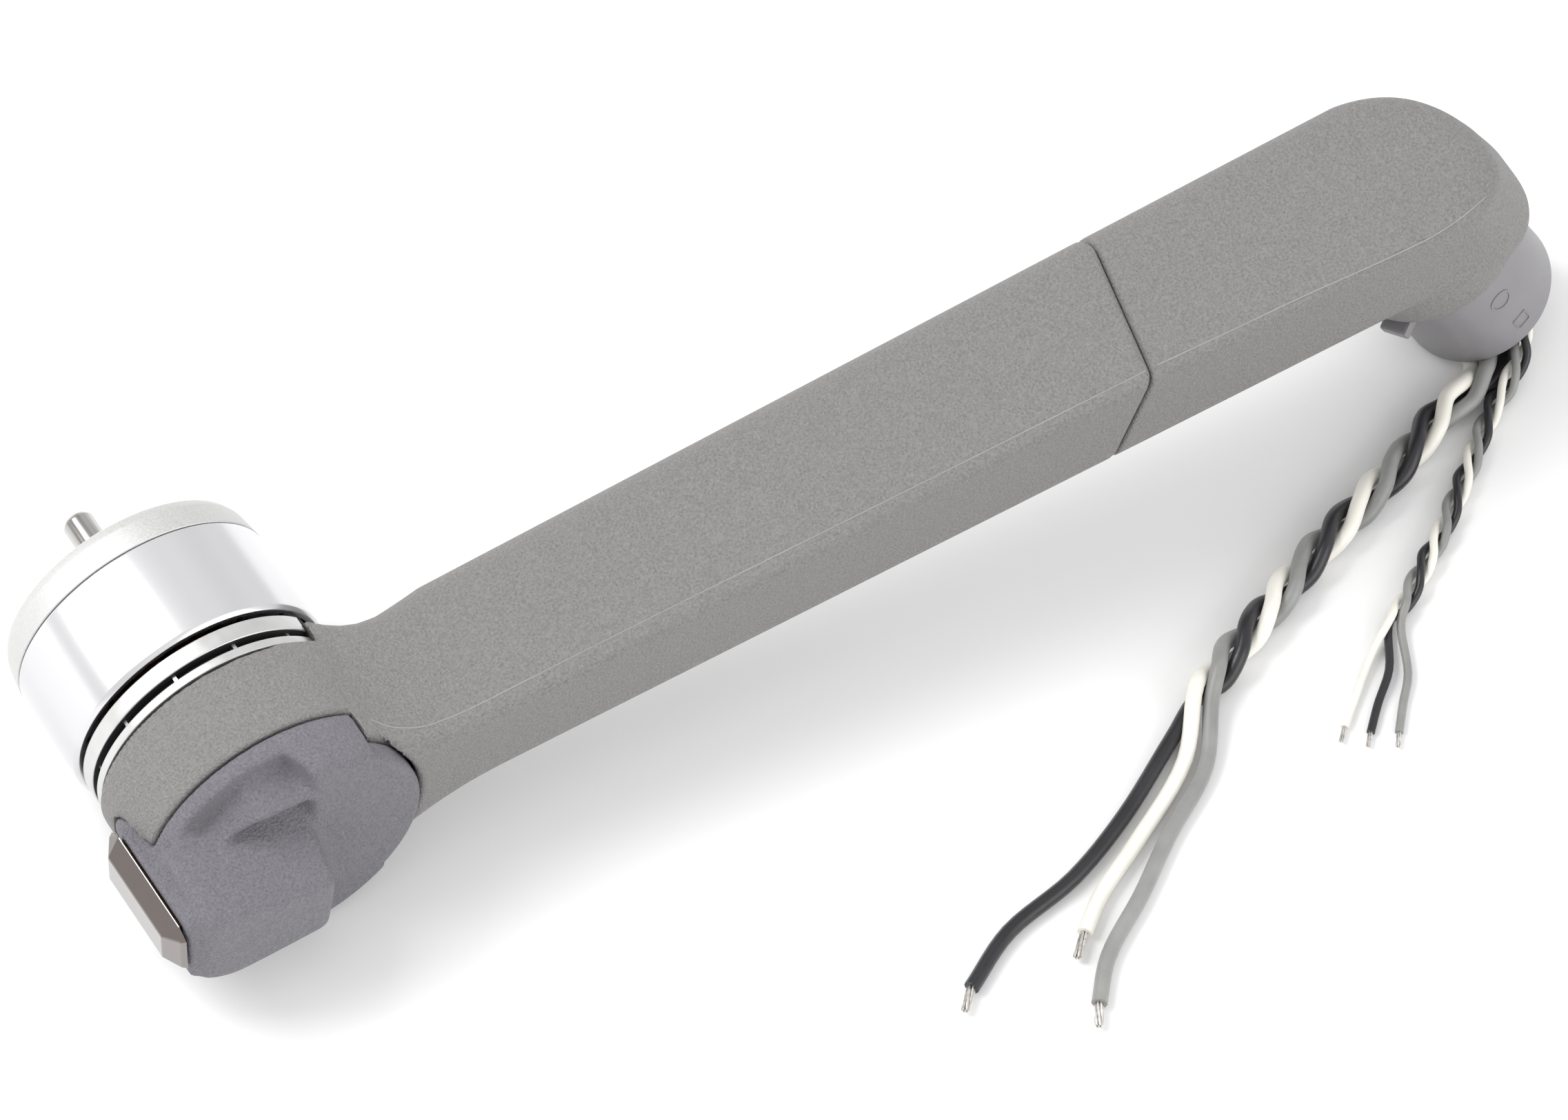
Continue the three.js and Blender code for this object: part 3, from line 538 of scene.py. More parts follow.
def arm_field(x, y, z):
    """The long shell: pod and neck in one, hollowed for the motor, the cover and the wires."""
    r = np.hypot(x, z)
    past_cut = x - CUT_X - GAP
    pod = cylinder_y(x, y, z, BELL_RADIUS, POD_STEP_RIM, POD_TOP, 0.35)
    neck = cut(beam_field(x, y, z), np.maximum(past_cut, POD_TOP - y), 0.4)
    neck = smax(neck, 5.0 - x, 0.3)
    body = smin(pod, neck, 1.1)
    body = smax(body, seam_field(x, y, z, GAP / 2), 0.35)
    motor_well = np.maximum(r - POD_INNER, WEB_TOP - y)
    motor_well = np.maximum(motor_well, np.minimum(past_cut, y - POD_TOP))
    body = cut(body, motor_well)
    body = cut(body, np.maximum(r - POD_INNER, y - WEB_BOTTOM))
    rim_step = np.maximum(np.maximum(r - BELL_RADIUS - GAP, y - POD_RIM), x - COVER_STEP_X - GAP)
    body = cut(body, rim_step, 0.35)
    body = cut(body, np.maximum(r - COVER_BACK - GAP, y - POD_STEP_RIM), 0.3)
    wire_passage = box_field(x, y, z, (7, ARM_BOTTOM + 1.5, -4.2), (16, WEB_BOTTOM - 0.4, 4.2))
    body = cut(body, wire_passage)
    body = cut(body, np.maximum(r - TUBE_HOLE, y + 10))
    body = cut(body, np.maximum(tongue_field(y, z, 0.18), x + 9), 0.25)
    body = cut(body, np.maximum(beam_field(x, y, z, WALL), 14 - x))
    return cut(body, np.maximum(screw_field(x, z), y + 15.5), 0.1)


def to_hinge(x, y, z):
    """The same points in the hinge's frame."""
    d = np.stack([x - HINGE_CENTRE[0], y - HINGE_CENTRE[1], z - HINGE_CENTRE[2]])
    return np.tensordot(HINGE_AXES, d, axes=1)


def root_end_field(x, y, z):
    """The round end: an outline leaning along the hinge axis, its front edge softened."""
    lower_x = ROUND_X + ROUND_UPPER - ROUND_LOWER
    along = x - LEAN * (z - 3.5)
    dy = y - (ARM_BOTTOM + ROUND_LOWER)
    above = np.hypot(np.maximum(along - ROUND_X, 0), dy) - ROUND_UPPER
    below = np.hypot(np.maximum(along - lower_x, 0), dy) - ROUND_LOWER
    outline = np.where(dy > 0, above, below)
    turn = np.arctan2(dy, np.maximum(along - ROUND_X, 0) + 1e-6)
    edge = 1.3 + 1.1 * smoothstep(-1.3, -0.2, turn) + 1.2 * smoothstep(0.7, 1.5, turn)
    front = both(outline, z - ARM_FRONT, edge)
    return both(front, -7 - z, 2.6 + 1.2 * smoothstep(0, 1.2, turn))


def root_field(x, y, z):
    """The root shell: the arm's end with the hinge collar, and a spigot into the long shell."""
    across, aside, up = to_hinge(x, y, z)
    beam = beam_field(x, y, z)
    straight = np.maximum(beam, x - STRAIGHT_TO)
    end = np.maximum(root_end_field(x, y, z), np.maximum(ROUND_FROM - x, beam))
    collar_radius = np.interp(up, COLLAR_HEIGHTS, COLLAR_RADII)
    collar_side = np.hypot(across / COLLAR_WIDER, aside) - collar_radius
    collar = both(collar_side, np.maximum(-up, up - COLLAR_HEIGHTS[-1]), 0.35)
    body = smin(np.minimum(straight, end), collar, 1.0)
    main = smax(body, -seam_field(x, y, z, -GAP / 2), 0.35)
    spigot = np.maximum(beam_field(x, y, z, WALL + GAP), seam_field(x, y, z, -3))
    spigot = smax(spigot, -seam_field(x, y, z, SPIGOT), 0.3)
    body = np.minimum(main, spigot)
    body = cut(body, np.maximum(beam_field(x, y, z, CHANNEL_WALL), x - CHANNEL_TO))
    bore = np.maximum(np.hypot(across, aside) - HINGE_BORE, np.maximum(-1 - up, up - 13.4))
    return cut(body, bore, 0.2)


foot_planes = convex_planes([
    (-12.2, FOOT_BOTTOM, 5.2), (0.7, FOOT_BOTTOM, 1.9),
    (-0.4, FOOT_BOTTOM, -4.8), (-10.8, FOOT_BOTTOM, -5.2),
    (-12.9, -33, 5.1), (-12.9, -33, -4.9), (-12.6, -26, 7),
    (1.2, -26, 6.3), (3.6, -26, -7.6), (-12.4, -26, -7),
])
nose_planes = convex_planes([
    (-11.5, -19.4, 3.0), (-11.5, -19.4, -3.0), (-13.9, -20.3, 3.3), (-13.9, -20.3, -3.3),
    (-11.5, -33.2, 5.2), (-11.5, -33.2, -5.2), (-13.9, -32.6, 4.4), (-13.9, -32.6, -4.4),
])


def scoop_height(x, z):
    """Where the cover's bottom surface lies: flat on the neck side, and on the tip side a valley
    beside the foot, a soft ridge, then a shallower valley under the rim."""
    ridge_z = np.interp(x, [-10.3, -7, -3.9, 1.6], [4.6, 6.9, 8.7, 8.7])
    out = np.abs(z) - ridge_z
    valleys = -26.9 + 1.4 * smoothstep(0.2, 2.6, out) - 1.9 * np.exp(-(out / 1.0) ** 2)
    rising = np.interp(x, [-11.5, -7, -3.5, 0], [2.6, 1.2, 0.2, 0])
    scooped = np.minimum(valleys + rising, SCOOP_TOP)
    flat = smoothstep(0.2, 2.2, x)
    return scooped * (1 - flat) + COVER_BOTTOM * flat


def cover_field(x, y, z):
    """The bottom cover: a shallow cup with the foot, and the nose and tongue round the lens."""
    r = np.hypot(x, z)
    stepped = x > COVER_STEP_X
    wall = np.where(stepped, r - COVER_BACK, r - BELL_RADIUS)
    edge = 2.0 - 1.3 * np.maximum(smoothstep(5, 9, x), smoothstep(0, -7, z))
    body = both(wall, COVER_BOTTOM - y, edge)
    top = np.where(stepped, y - POD_STEP_RIM + GAP, y - POD_RIM + GAP)
    body = smax(body, top, 0.25)
    body = smax(body, (scoop_height(x, z) - y) * 0.75, 0.7)
    foot = convex_field(x, y, z, foot_planes, 0.28)
    body = smin(body, foot, 1.3)
    nose = convex_field(x, y, z, nose_planes, 0.2)
    tongue = smax(np.maximum(tongue_field(y, z), r - BELL_RADIUS + 0.05), x + 10.8, 0.2)
    tongue = np.maximum(tongue, -29 - y)
    body = smin(body, smin(nose, tongue, 0.5), 0.7)
    inner = np.maximum(np.maximum(r - POD_INNER, y + 20), COVER_BOTTOM + 1.5 - y)
    inner = np.maximum(inner, np.maximum(-9.4 - x, scoop_height(x, z) + WALL - y))
    body = cut(body, inner, 0.2)
    board_space = box_field(x, y, z, (-11.6, -29.6, -2.9), (-9, -18, 2.9))
    body = cut(body, board_space, 0.15)
    lens_seat = box_field(x, y, z, (-16, -31.2, -2.6), (-12.6, -20.8, 2.6), 0.1)
    lens_face = box_field(x, y, z, (-17, -33.1, -9), (-13.8, -18.9, 9), 0.05)
    body = cut(cut(body, lens_seat, 0.1), lens_face, 0.15)
    light_hole = box_field(x, y, z, (-14, -28.4, -1.5), (-11, -22, 1.5), 0.1)
    return cut(body, light_hole, 0.1)


shell(
    "arm_shell_skin", arm_field,
    grid_lines((-14, 30, 0.4), (30, 84, 0.9), (84, 91, 0.35)),
    grid_lines((-30, -10, 0.4)), grid_lines((-14.4, 14.4, 0.4)),
    arm_plastic, "arm_plastic", "arm_shell", along_seam,
)
shell(
    "root_shell_skin", root_field,
    grid_lines((78, 93, 0.35), (93, 104, 0.7), (104, 138, 0.38)),
    grid_lines((-31.5, -7.5, 0.38)), grid_lines((-13.5, 6.6, 0.38)),
    arm_plastic, "arm_plastic", "root_shell", along_seam,
)
shell(
    "bottom_cover_skin", cover_field,
    grid_lines((-15, 14, 0.3)), grid_lines((-35, -16.5, 0.3)), grid_lines((-14, 14, 0.3)),
    cover_plastic, "cover_plastic", "bottom_cover",
)

# ------------------------------------------------------------------ mould lines
def tube(name, points, radius, resolution, material):
    """A round tube along the points, all in metres."""
    data = bpy.data.curves.new(name, "CURVE")
    data.dimensions = "3D"
    data.bevel_depth = radius
    data.bevel_resolution = resolution
    data.use_fill_caps = True
    spline = data.splines.new("POLY")
    spline.points.add(len(points) - 1)
    for point, at in zip(spline.points, points):
        point.co = (*at, 1)
    spline.use_smooth = True
    obj = bpy.data.objects.new(name, data)
    bpy.context.scene.collection.objects.link(obj)
    data.materials.append(material)
    return obj


def mould_line(name, field, points, radius, sunk):
    """A hair-thin raised line that follows a shell's surface through the points; its lighter plastic is a
    painted highlight.
    """
    line = spline_through([np.array(p, float) for p in points], 14)
    for _ in range(6):
        line = pull_back(field, line, 0.4)
    line = pull_back(lambda x, y, z: field(x, y, z) + sunk, line)
    return place(tube(name, arm_to_part(line), radius * MM, 2, mould_line_painted_highlight), "arm", "arm_plastic")


def spline_through(points, per_step=6):
    """A centripetal Catmull-Rom line through the points."""
    pts = [2 * points[0] - points[1]] + list(points) + [2 * points[-1] - points[-2]]
    line = []
    for i in range(1, len(pts) - 2):
        p = pts[i - 1:i + 3]
        t = [0.0]
        for k in range(3):
            t.append(t[-1] + max(np.linalg.norm(p[k + 1] - p[k]), 1e-6) ** 0.5)
        for u in np.linspace(t[1], t[2], per_step, endpoint=False):
            a = [((t[k + 1] - u) * p[k] + (u - t[k]) * p[k + 1]) / (t[k + 1] - t[k]) for k in range(3)]
            b = [((t[k + 2] - u) * a[k] + (u - t[k]) * a[k + 1]) / (t[k + 2] - t[k]) for k in range(2)]
            line.append(((t[2] - u) * b[0] + (u - t[1]) * b[1]) / (t[2] - t[1]))
    line.append(pts[-2])
    return np.array(line)


mould_line("arm_mould_line", arm_field, [
    (9.6, -24.5, 8.1), (11.5, -25.6, 7.5), (14.2, -26.4, 6.6), (17.4, -26.5, 6.1), (22, -26.45, 5.7),
    (35, -26.5, 5.6), (60, -26.8, 5.6), (75, -26.95, 5.6), (89.6, -27.05, 5.6),
], 0.07, 0.02)
mould_line("root_mould_line", root_field, [
    (90.8, -27.05, 5.6), (98, -27.3, 5.5), (106, -27.5, 5.4), (113, -27.7, 5.1), (118.5, -27.7, 4.9),
    (122.4, -27.2, 4.7), (125.6, -26.3, 4.4),
], 0.07, 0.02)
mould_line("pod_mould_line", arm_field, [
    (-9.5, -16, 9.2), (-9.3, -18.5, 9.3), (-9.1, -21, 9.4), (-8.9, -23.0, 9.5),
], 0.04, 0.01)

# ------------------------------------------------------------------ free wires
# In the part's frame in mm. Each strand winds about the bundle's middle line by "turns" per
# point, from its "start" share of a turn, then runs free through its ends to its bare tip.
THICK = {
    "label": "phase_wire", "diameter": 1.5, "twist": 1.06, "turns": 0.21, "tip": 0.9,
    "start": {"white": 0.2, "grey": 0.53, "black": 0.87},
    "exits": {
        "white": [(67.4, -10.6, 4.9), (66.9, -12.6, 2.5), (66.2, -14.3, 1.05), (65.2, -15.9, 1.1),
                  (63.7, -17.1, 2.4)],
        "grey": [(68.9, -11, 5.2), (68.4, -13.4, 2.7), (67.4, -15.5, 1.6), (65.8, -17.2, 2.5),
                 (63.7, -18.9, 2)],
        "black": [(70, -8.9, 5.4), (70.2, -11.9, 2.9), (69.6, -14.8, 1.1), (67.8, -17, 0.8),
                  (65.6, -17.8, 0.8), (63.4, -17.3, 0.8)],
    },
    "middle": [(61.4, -18.4, 1.95), (58.7, -19.6, 1.95), (56.1, -20.9, 1.95), (53.5, -22.1, 1.95),
               (50.9, -23.2, 1.95), (48.2, -24.3, 1.95), (45.5, -25.3, 1.95), (42.8, -26.4, 1.95),
               (40.2, -27.6, 1.95), (37.6, -28.9, 1.95), (35.1, -30.1, 1.95), (32.5, -31.3, 1.95),
               (30, -32.5, 1.95), (27.5, -33.9, 1.95), (25.1, -35.2, 1.95)],
    "ends": {
        "black": [(20.6, -37.6, 1.1), (12.4, -42.8, 0.9), (5, -46.4, 0.9), (-3.2, -48.7, 0.9),
                  (-9.2, -52.3, 0.9)],
        "white": [(20.4, -40.2, 1.1), (11.9, -45.8, 0.9), (6.2, -49.2, 0.9), (2.9, -52, 0.9)],
        "grey": [(21.8, -41.6, 1.1), (15.1, -46.4, 0.9), (9.6, -50.8, 0.9), (3.5, -55.2, 0.9),
                 (0.2, -59.2, 0.9)],
    },
    "tips": {"black": (-11, -54.2, 0.9), "white": (0.9, -54, 0.9), "grey": (-1.1, -61.3, 0.9)},
}
THIN = {
    "label": "light_wire", "diameter": 0.8, "twist": 0.66, "turns": 0.2, "tip": 0.5,
    "start": {"white": 0.78, "grey": 0.12, "black": 0.45},
    "exits": {},
    "middle": [(71.5, -8.6, 7.6), (71.8, -10.5, 6.1), (71.8, -12.3, 4.6), (71.4, -14, 3.6),
               (70.8, -15.5, 2.9), (69.8, -16.9, 2.3), (68.4, -18.1, 1.8), (67, -19, 1.4),
               (65.4, -19.9, 1.2), (64, -21, 1.1), (62.6, -22.2, 1.1), (61.3, -23.3, 1.1),
               (60, -24.5, 1.1), (58.6, -25.7, 1.1), (57.2, -26.9, 1.1), (55.8, -28.1, 1.1),
               (54.4, -29.3, 1.1), (52.9, -30.4, 1.1), (51.4, -31.5, 1.1), (49.9, -32.6, 1.1),
               (48.4, -33.7, 1.1), (46.8, -34.8, 1.1), (45.2, -35.9, 1.1)],
    "ends": {
        "white": [(41.8, -37.8, 0.9), (38.2, -41, 0.5), (35.4, -43.6, 0.5)],
        "black": [(42.1, -40.2, 0.7), (39.4, -42.8, 0.5), (37.2, -45.2, 0.5)],
        "grey": [(43.4, -41.4, 0.7), (41.4, -43.9, 0.5), (39.5, -46.4, 0.5)],
    },
    "tips": {"white": (34.3, -44.8, 0.5), "black": (36.2, -46.4, 0.5), "grey": (38.6, -47.7, 0.5)},
}


def wire_route(bundle, color):
    """One strand's points: its exit, the twist that the solids have too, and its free end."""
    middle = [np.array(p, float) for p in bundle["middle"]]
    twisted = []
    for i, point in enumerate(middle):
        forward = middle[min(i + 1, len(middle) - 1)] - middle[max(i - 1, 0)]
        forward /= np.linalg.norm(forward)
        side = np.array([forward[1], -forward[0], 0])
        side /= np.linalg.norm(side)
        up = np.cross(side, forward)
        angle = (bundle["start"][color] + i * bundle["turns"]) * 2 * math.pi
        twisted.append(point + bundle["twist"] * (math.cos(angle) * side + math.sin(angle) * up))
    exit_points = [np.array(p, float) for p in bundle["exits"].get(color, [])]
    end_points = [np.array(p, float) for p in bundle["ends"][color]]
    return exit_points + twisted + end_points


def strand_tip(name, start, end, diameter):
    """Bare tinned strands: seven thin twisted rods in one piece."""
    start, end = np.array(start, float), np.array(end, float)
    axis = (end - start) / np.linalg.norm(end - start)
    side = np.cross(axis, (0, 0, 1))
    side /= np.linalg.norm(side)
    up = np.cross(side, axis)
    strand = diameter / 6
    strands, rings, sides = 7, 7, 8
    vertices, faces = [], []
    for s in range(strands):
        offset = 0 if s == strands - 1 else diameter / 2 - strand
        for i in range(rings):
            share = i / (rings - 1)
            a = s * math.pi / 3 + share * 0.9
            centre = start + (end - start) * share + offset * (math.cos(a) * side + math.sin(a) * up)
            fat = strand * (1 if 0 < i < rings - 1 else 0.75)
            for k in range(sides):
                b = k * 2 * math.pi / sides
                vertices.append(centre + fat * (math.cos(b) * side + math.sin(b) * up))
        first = s * rings * sides
        last = first + (rings - 1) * sides
        for ring in range(first, last, sides):
            for k in range(sides):
                j = (k + 1) % sides
                faces.append((ring + k, ring + j, ring + sides + j, ring + sides + k))
        faces.append(tuple(first + k for k in reversed(range(sides))))
        faces.append(tuple(last + k for k in range(sides)))
    obj = make_object(name, part_mm(vertices), faces, tinned)
    face_outwards(obj)
    return obj


def add_bundle(bundle):
    """Three insulated leads twisted together, each with its bare tip."""
    for color in ("black", "white", "grey"):
        node = f"{bundle['label']}_{color}"
        line = spline_through(wire_route(bundle, color))
        radius = bundle["diameter"] / 2 * MM
        lead = tube(node + "_lead", part_mm(line), radius, 4, insulation[color])
        place(lead, "barrel", f"{color}_insulation", node)
        tip_end = np.array(bundle["tips"][color], float)
        tip = strand_tip(node + "_strands", line[-1], tip_end, bundle["tip"])
        place(tip, "barrel", "tinned_copper", node + "_tip")


add_bundle(THICK)
add_bundle(THIN)


def facets(name, points, material, to_part, bevel):
    """The points' convex hull with its edges bevelled, the bevel in metres."""
    bm = bmesh.new()
    for p in to_part(points):
        bm.verts.new(p)
    bmesh.ops.convex_hull(bm, input=bm.verts)
    bmesh.ops.dissolve_limit(bm, angle_limit=0.02, verts=bm.verts, edges=bm.edges)
    bmesh.ops.bevel(bm, geom=bm.edges[:], offset=bevel, segments=2, profile=0.6, affect="EDGES")
    bmesh.ops.recalc_face_normals(bm, faces=bm.faces)
    mesh = bpy.data.meshes.new(name)
    bm.to_mesh(mesh)
    bm.free()
    obj = bpy.data.objects.new(name, mesh)
    bpy.context.scene.collection.objects.link(obj)
    mesh.materials.append(material)
    return obj


# ------------------------------------------------------------------ motor
SHAFT_R = 1.5
rotor_cap = lathe("rotor_cap_turned", [
    (SHAFT_R + 0.3, -0.6), (3.2, -0.6), (3.6, 1.4), (12.2, 1.4), (12.2, 0.04), (12.92, 0.04), (13, 0.14),
    (12.62, 2.6), (12.2, 3.45), (11.4, 4), (6.9, 4), (6.7, 3.8), (5.3, 3.8), (5.1, 4), (SHAFT_R + 0.3, 4),
], cap_metal, arm_to_part, 160, 0.2)
place(rotor_cap, "rotor", "machined_aluminium", "rotor_cap")
rotor_can = lathe("rotor_can_turned", [
    (12.2, -10.5), (12.7, -10.5), (13, -10.1), (13, -0.18), (12.92, -0.06), (12.2, -0.06),
], can_metal, arm_to_part, 160, 0.1)
place(rotor_can, "rotor", "polished_can", "rotor_can")
shaft = lathe("motor_shaft_turned", [
    (0, -15.6), (1.2, -15.6), (1.5, -15.3), (1.5, -15.2), (1.1, -15.2), (1.1, -14.5), (1.5, -14.5),
    (1.5, 11.8), (1.2, 12.2), (0, 12.2),
], shaft_steel, arm_to_part, 48, 0.08)
place(shaft, "rotor", "steel", "motor_shaft")

# The motor's base: a skirt down in the pod, then two rims with a slotted groove between them,
# cut flat where the neck begins, and a tube up the middle for the bearings.
def cut_flat(obj, x):
    """Takes away what lies past x, in the arm's frame, and closes the cut."""
    at, direction = Vector(arm_to_part([x, 0, 0])), Vector(ARM_AXES[0])
    bm = bmesh.new()
    bm.from_mesh(obj.data)
    geometry = bm.verts[:] + bm.edges[:] + bm.faces[:]
    made = bmesh.ops.bisect_plane(bm, geom=geometry, plane_co=at, plane_no=direction, clear_outer=True)
    edges = [e for e in made["geom_cut"] if isinstance(e, bmesh.types.BMEdge)]
    bmesh.ops.triangle_fill(bm, edges=edges, use_beauty=True, use_dissolve=True)
    bmesh.ops.recalc_face_normals(bm, faces=bm.faces)
    bm.to_mesh(obj.data)
    bm.free()
    obj.data.set_sharp_from_angle(angle=math.radians(35))


base = lathe("motor_base_turned", [
    (4.7, -15.1), (11.3, -15.1), (11.3, -14.5), (12.6, -14.5), (12.6, -13.6), (11.2, -13.6), (11.2, -12.8),
    (12.6, -12.8), (12.6, -11.1), (4.7, -11.1),
], ring_metal, arm_to_part, 192, 0.14)
cut_flat(base, CUT_X)


def shade_groove(obj):
    """The floor and walls of the groove between the rims get a second, dark material: painted shade in the
    narrow groove.
    """
    obj.data.materials.append(groove_shade)
    for face in obj.data.polygons:
        x, y, z = ARM_AXES @ (np.array(face.center) / MM - ARM_ORIGIN)
        if -13.75 < y < -12.65 and math.hypot(x, z) < 12.2:
            face.material_index = 1


shade_groove(base)
place(base, "arm", "machined_aluminium", "motor_base")
base_tube = lathe("motor_base_tube", [
    (3.8, -16), (11.3, -16), (11.3, -15.15), (4.7, -15.15), (4.7, -2), (3.8, -2),
], ring_metal, arm_to_part, 96, 0.1)
place(base_tube, "arm", "machined_aluminium")


def groove_spokes():
    """Short webs across the groove between the two rims."""
    vertices, faces = [], []
    for k in range(12):
        middle = math.radians(18 + 30 * k)
        if 12.2 * math.cos(middle) > CUT_X - 0.5:
            continue
        first = len(vertices)
        for r, y in ((11, -13.7), (12.0, -13.7), (12.0, -12.7), (11, -12.7)):
            for side in (-0.015, 0.015):
                vertices.append((r * math.cos(middle + side), y, r * math.sin(middle + side)))
        for corners in ((0, 2, 3, 1), (2, 4, 5, 3), (4, 6, 7, 5), (6, 0, 1, 7), (0, 6, 4, 2), (1, 3, 5, 7)):
            faces.append([first + i for i in corners])
    obj = make_object("motor_base_spokes", arm_to_part(np.array(vertices)), faces, ring_metal, False)
    face_outwards(obj)
    return place(obj, "arm", "machined_aluminium")


groove_spokes()

# ------------------------------------------------------------------ hinge barrel
BARREL_R = 7.35
barrel = lathe("hinge_barrel_turned", [
    (2.5, -2.5), (6, -2.5), (6, -12.3), (BARREL_R - 0.3, -12.3), (BARREL_R, -12), (BARREL_R, -0.3),
    (3.6, -0.3), (3.6, 9.3), (3.1, 9.3), (3.1, 9.9), (3.6, 9.9), (3.6, 10.4), (2.5, 10.4),
], barrel_plastic, hinge_to_part, 128, 0.18, "z")
place(barrel, "barrel", "barrel_plastic", "hinge_barrel")


def block_piece(name, low, high, to_part, material, bevel):
    """A small block with rounded edges, given by its corners."""
    xs, ys, zs = zip(low, high)
    corners = [(x, y, z) for x in xs for y in ys for z in zs]
    return facets(name, np.array(corners, float), material, to_part, bevel)


def turned(angle_deg, to_part):
    """The same frame turned about its own Z."""
    a = math.radians(angle_deg)
    spin = np.array([[math.cos(a), math.sin(a), 0], [-math.sin(a), math.cos(a), 0], [0, 0, 1]])
    return lambda points: to_part(np.asarray(points, float) @ spin)


def on_barrel(name, outline, proud, height, centre_deg):
    """A flat ring of the given outline, (across, up) in mm, bent onto the barrel's side."""
    vertices, faces = [], []
    n = len(outline)
    sunk, inner = 0.05, 0.84
    for scale, lift in ((1.0, 0.0), (1.0, proud), (inner, proud), (inner, 0.0)):
        for across, up in outline:
            a = math.radians(centre_deg) + across * scale / BARREL_R
            r = BARREL_R - sunk + lift
            vertices.append((r * math.cos(a), r * math.sin(a), height + up * scale))
    for ring in range(4):
        for k in range(n):
            j = (k + 1) % n
            following = (ring + 1) % 4
            faces.append((ring * n + k, ring * n + j, following * n + j, following * n + k))
    obj = make_object(name, hinge_to_part(np.array(vertices)), faces, barrel_plastic)
    face_outwards(obj)
    return place(obj, "barrel", "barrel_plastic")


stop_tab = block_piece(
    "barrel_stop_tab", (6.6, -1.4, -1.7), (9.4, 1.4, -0.5),
    turned(212, hinge_to_part), barrel_plastic, 0.00025,
)
place(stop_tab, "barrel", "barrel_plastic")
circle_line = [
    (1.15 * math.cos(a), 1.15 * math.sin(a)) for a in np.linspace(0, 2 * math.pi, 32, endpoint=False)
]
square_line = [
    (0.62 * sx + 0.2 * math.cos(a), 0.62 * sy + 0.2 * math.sin(a))
    for sx, sy, start in ((1, 1, 0), (-1, 1, 90), (-1, -1, 180), (1, -1, 270))
    for a in np.radians([start, start + 30, start + 60, start + 90])
]
on_barrel("barrel_ejector_mark", circle_line, proud=0.13, height=-4.4, centre_deg=-78)
on_barrel("barrel_square_mark", square_line, proud=0.14, height=-9.4, centre_deg=-76)

# ------------------------------------------------------------------ lens
lens_half = [(-14.1, -19.2, 2.3), (-14.1, -20.4, 3.2), (-14.1, -31.6, 3.2), (-14.1, -32.8, 2.3),
             (-14.6, -19.5, 2.2), (-14.6, -32.5, 2.2), (-15.7, -21.2, 1.8), (-15.7, -30.8, 1.8)]
lens_corners = np.array(lens_half + [(x, y, -z) for x, y, z in lens_half])
lens = facets("led_lens_facets", lens_corners, smoked_lens, arm_to_part, 0.00012)
place(lens, "arm", "smoked_lens")
lens_plug = block_piece(
    "led_lens_plug", (-14.2, -31, -2.3), (-12.9, -21, 2.3), arm_to_part, smoked_lens, 0.0001,
)
place(lens_plug, "arm", "smoked_lens")
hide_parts("led_lens")

# ------------------------------------------------------------------ carried-over nodes
def repaint(material, *names):
    for name in names:
        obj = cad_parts[name]
        obj.data.materials.clear()
        obj.data.materials.append(material)


repaint(magnet_metal, *[f"magnet_{i:02d}" for i in range(1, 15)])
repaint(steel, "shaft_clip", "bearing_upper", "bearing_lower",
        "motor_screw_1", "motor_screw_2", "motor_screw_3",
        "detent_cam", "hinge_spring", "spring_seat", "retaining_clip")
repaint(laminations, "stator_core")
repaint(copper, "stator_windings")
repaint(board_green, "led_board")
repaint(nylon, "detent_follower")
repaint(insulation["grey"], "phase_wire_run")
repaint(insulation["white"], "light_wire_run")

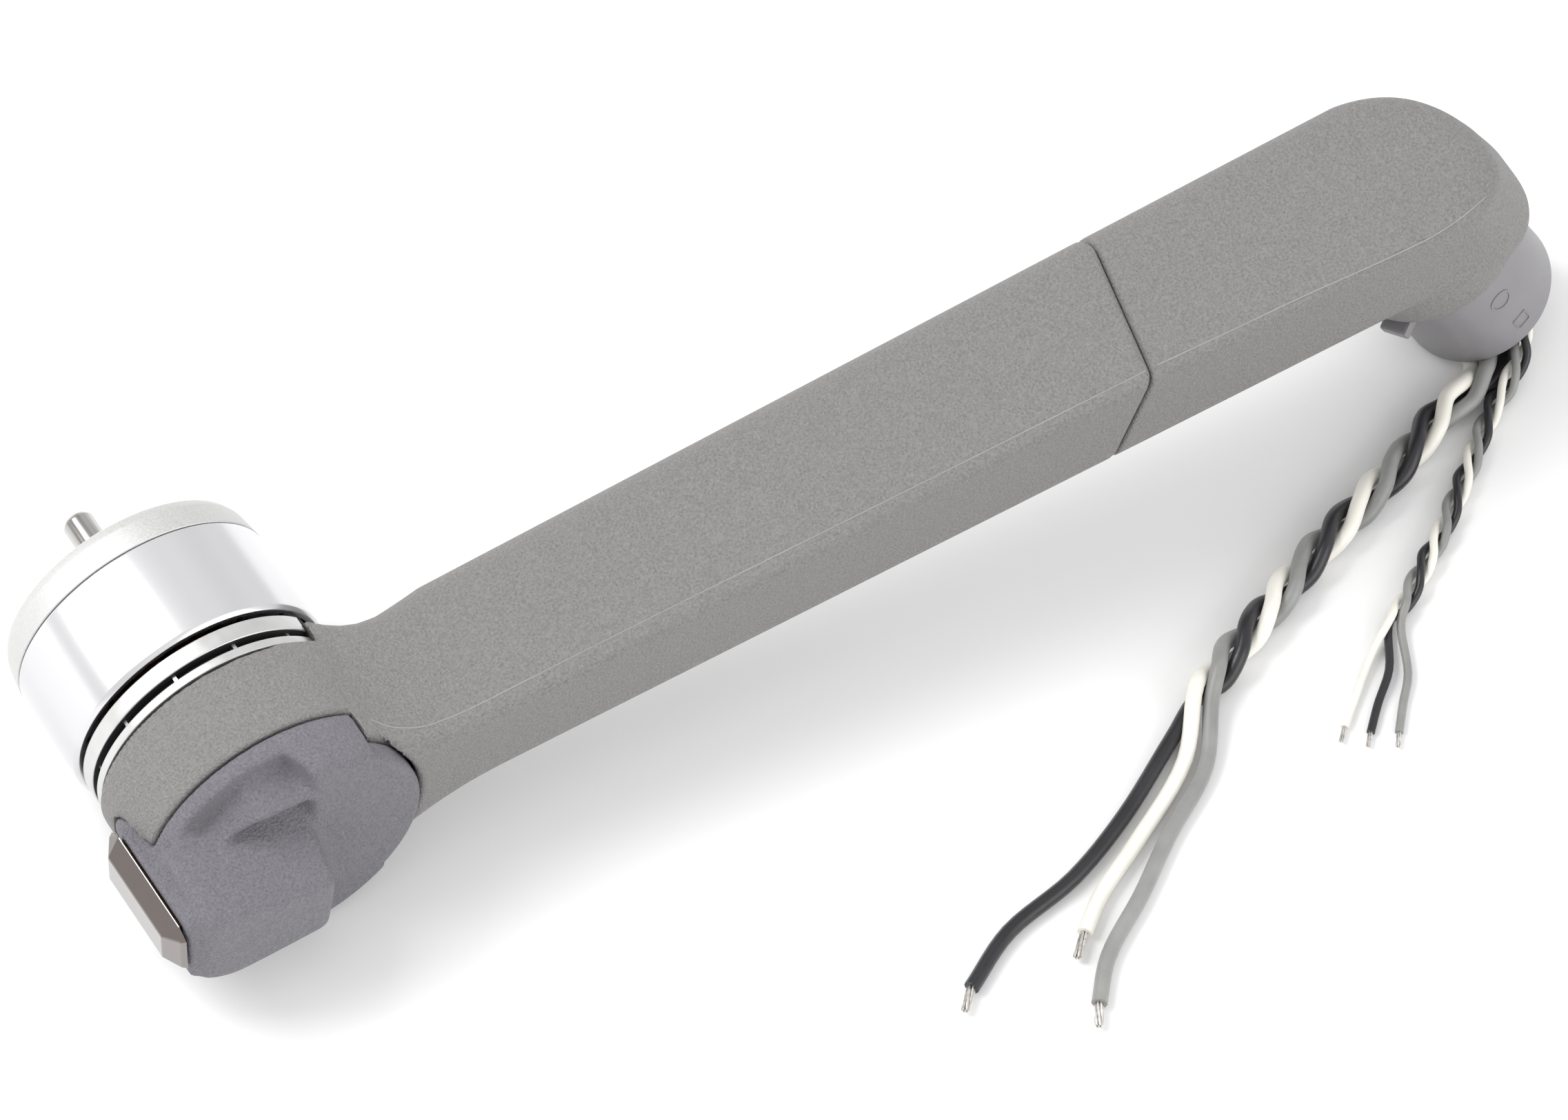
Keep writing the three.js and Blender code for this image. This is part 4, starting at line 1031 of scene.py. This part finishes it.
# ------------------------------------------------------------------ studio
def studio():
    """A plain pale floor under a plain white sky."""
    floor_material, nodes, links, shader, where = new_material("studio_floor", (0.86, 0.86, 0.86), 0.85)
    cloud = noise(nodes, links, where, 3, 2.0)
    pale = ramp(nodes, links, cloud, (0.85, 0.85, 0.85), (0.87, 0.87, 0.87))
    links.new(pale, shader.inputs["Base Color"])
    size = 3.0
    floor = make_object(
        "studio_floor", [(-size, -size, 0), (size, -size, 0), (size, size, 0), (-size, size, 0)],
        [(0, 1, 2, 3)], floor_material, False,
    )
    world = bpy.data.worlds.new("studio_world")
    world.use_nodes = True
    background = world.node_tree.nodes["Background"]
    background.inputs["Color"].default_value = (1, 1, 1, 1)
    background.inputs["Strength"].default_value = 0.95
    bpy.context.scene.world = world
    bpy.context.scene.view_settings.view_transform = "Standard"


def area_light(name, location, target, size, power):
    data = bpy.data.lights.new(name, "AREA")
    data.shape = "RECTANGLE"
    data.size = data.size_y = size
    data.energy = power
    obj = bpy.data.objects.new(name, data)
    bpy.context.scene.collection.objects.link(obj)
    obj.location = location
    obj.rotation_euler = (Vector(target) - Vector(location)).to_track_quat("-Z", "Y").to_euler()
    return obj


def camera():
    """A long lens from far off, so that the arm's two ends keep their size."""
    right = Vector((0.861, -0.503, 0.063)).normalized()
    back = Vector((-0.3257, -0.4545, 0.8283)).normalized()
    right = (right - back * right.dot(back)).normalized()
    up = back.cross(right)
    distance, sensor, frame_width = 4.0, 36.0, 0.14213
    centre = Vector((-0.00754, -0.01355, 0.01816))
    data = bpy.data.cameras.new("camera")
    data.sensor_width = sensor
    data.lens = sensor * distance / frame_width
    data.clip_start, data.clip_end = 0.1, 50
    obj = bpy.data.objects.new("camera", data)
    bpy.context.scene.collection.objects.link(obj)
    matrix = Matrix((right, up, back)).transposed().to_4x4()
    matrix.translation = centre + back * distance
    obj.matrix_world = matrix
    bpy.context.scene.camera = obj


studio()
area_light("key", (-0.45, 0.32, 0.7), (-0.03, 0, 0), size=0.45, power=5.5)
area_light("side", (-0.9, 0.45, 0.42), (-0.05, 0, 0.01), size=0.17, power=0.7)
area_light("fill", (0.35, -0.7, 0.35), (0, 0, 0), size=0.7, power=3.4)
camera()
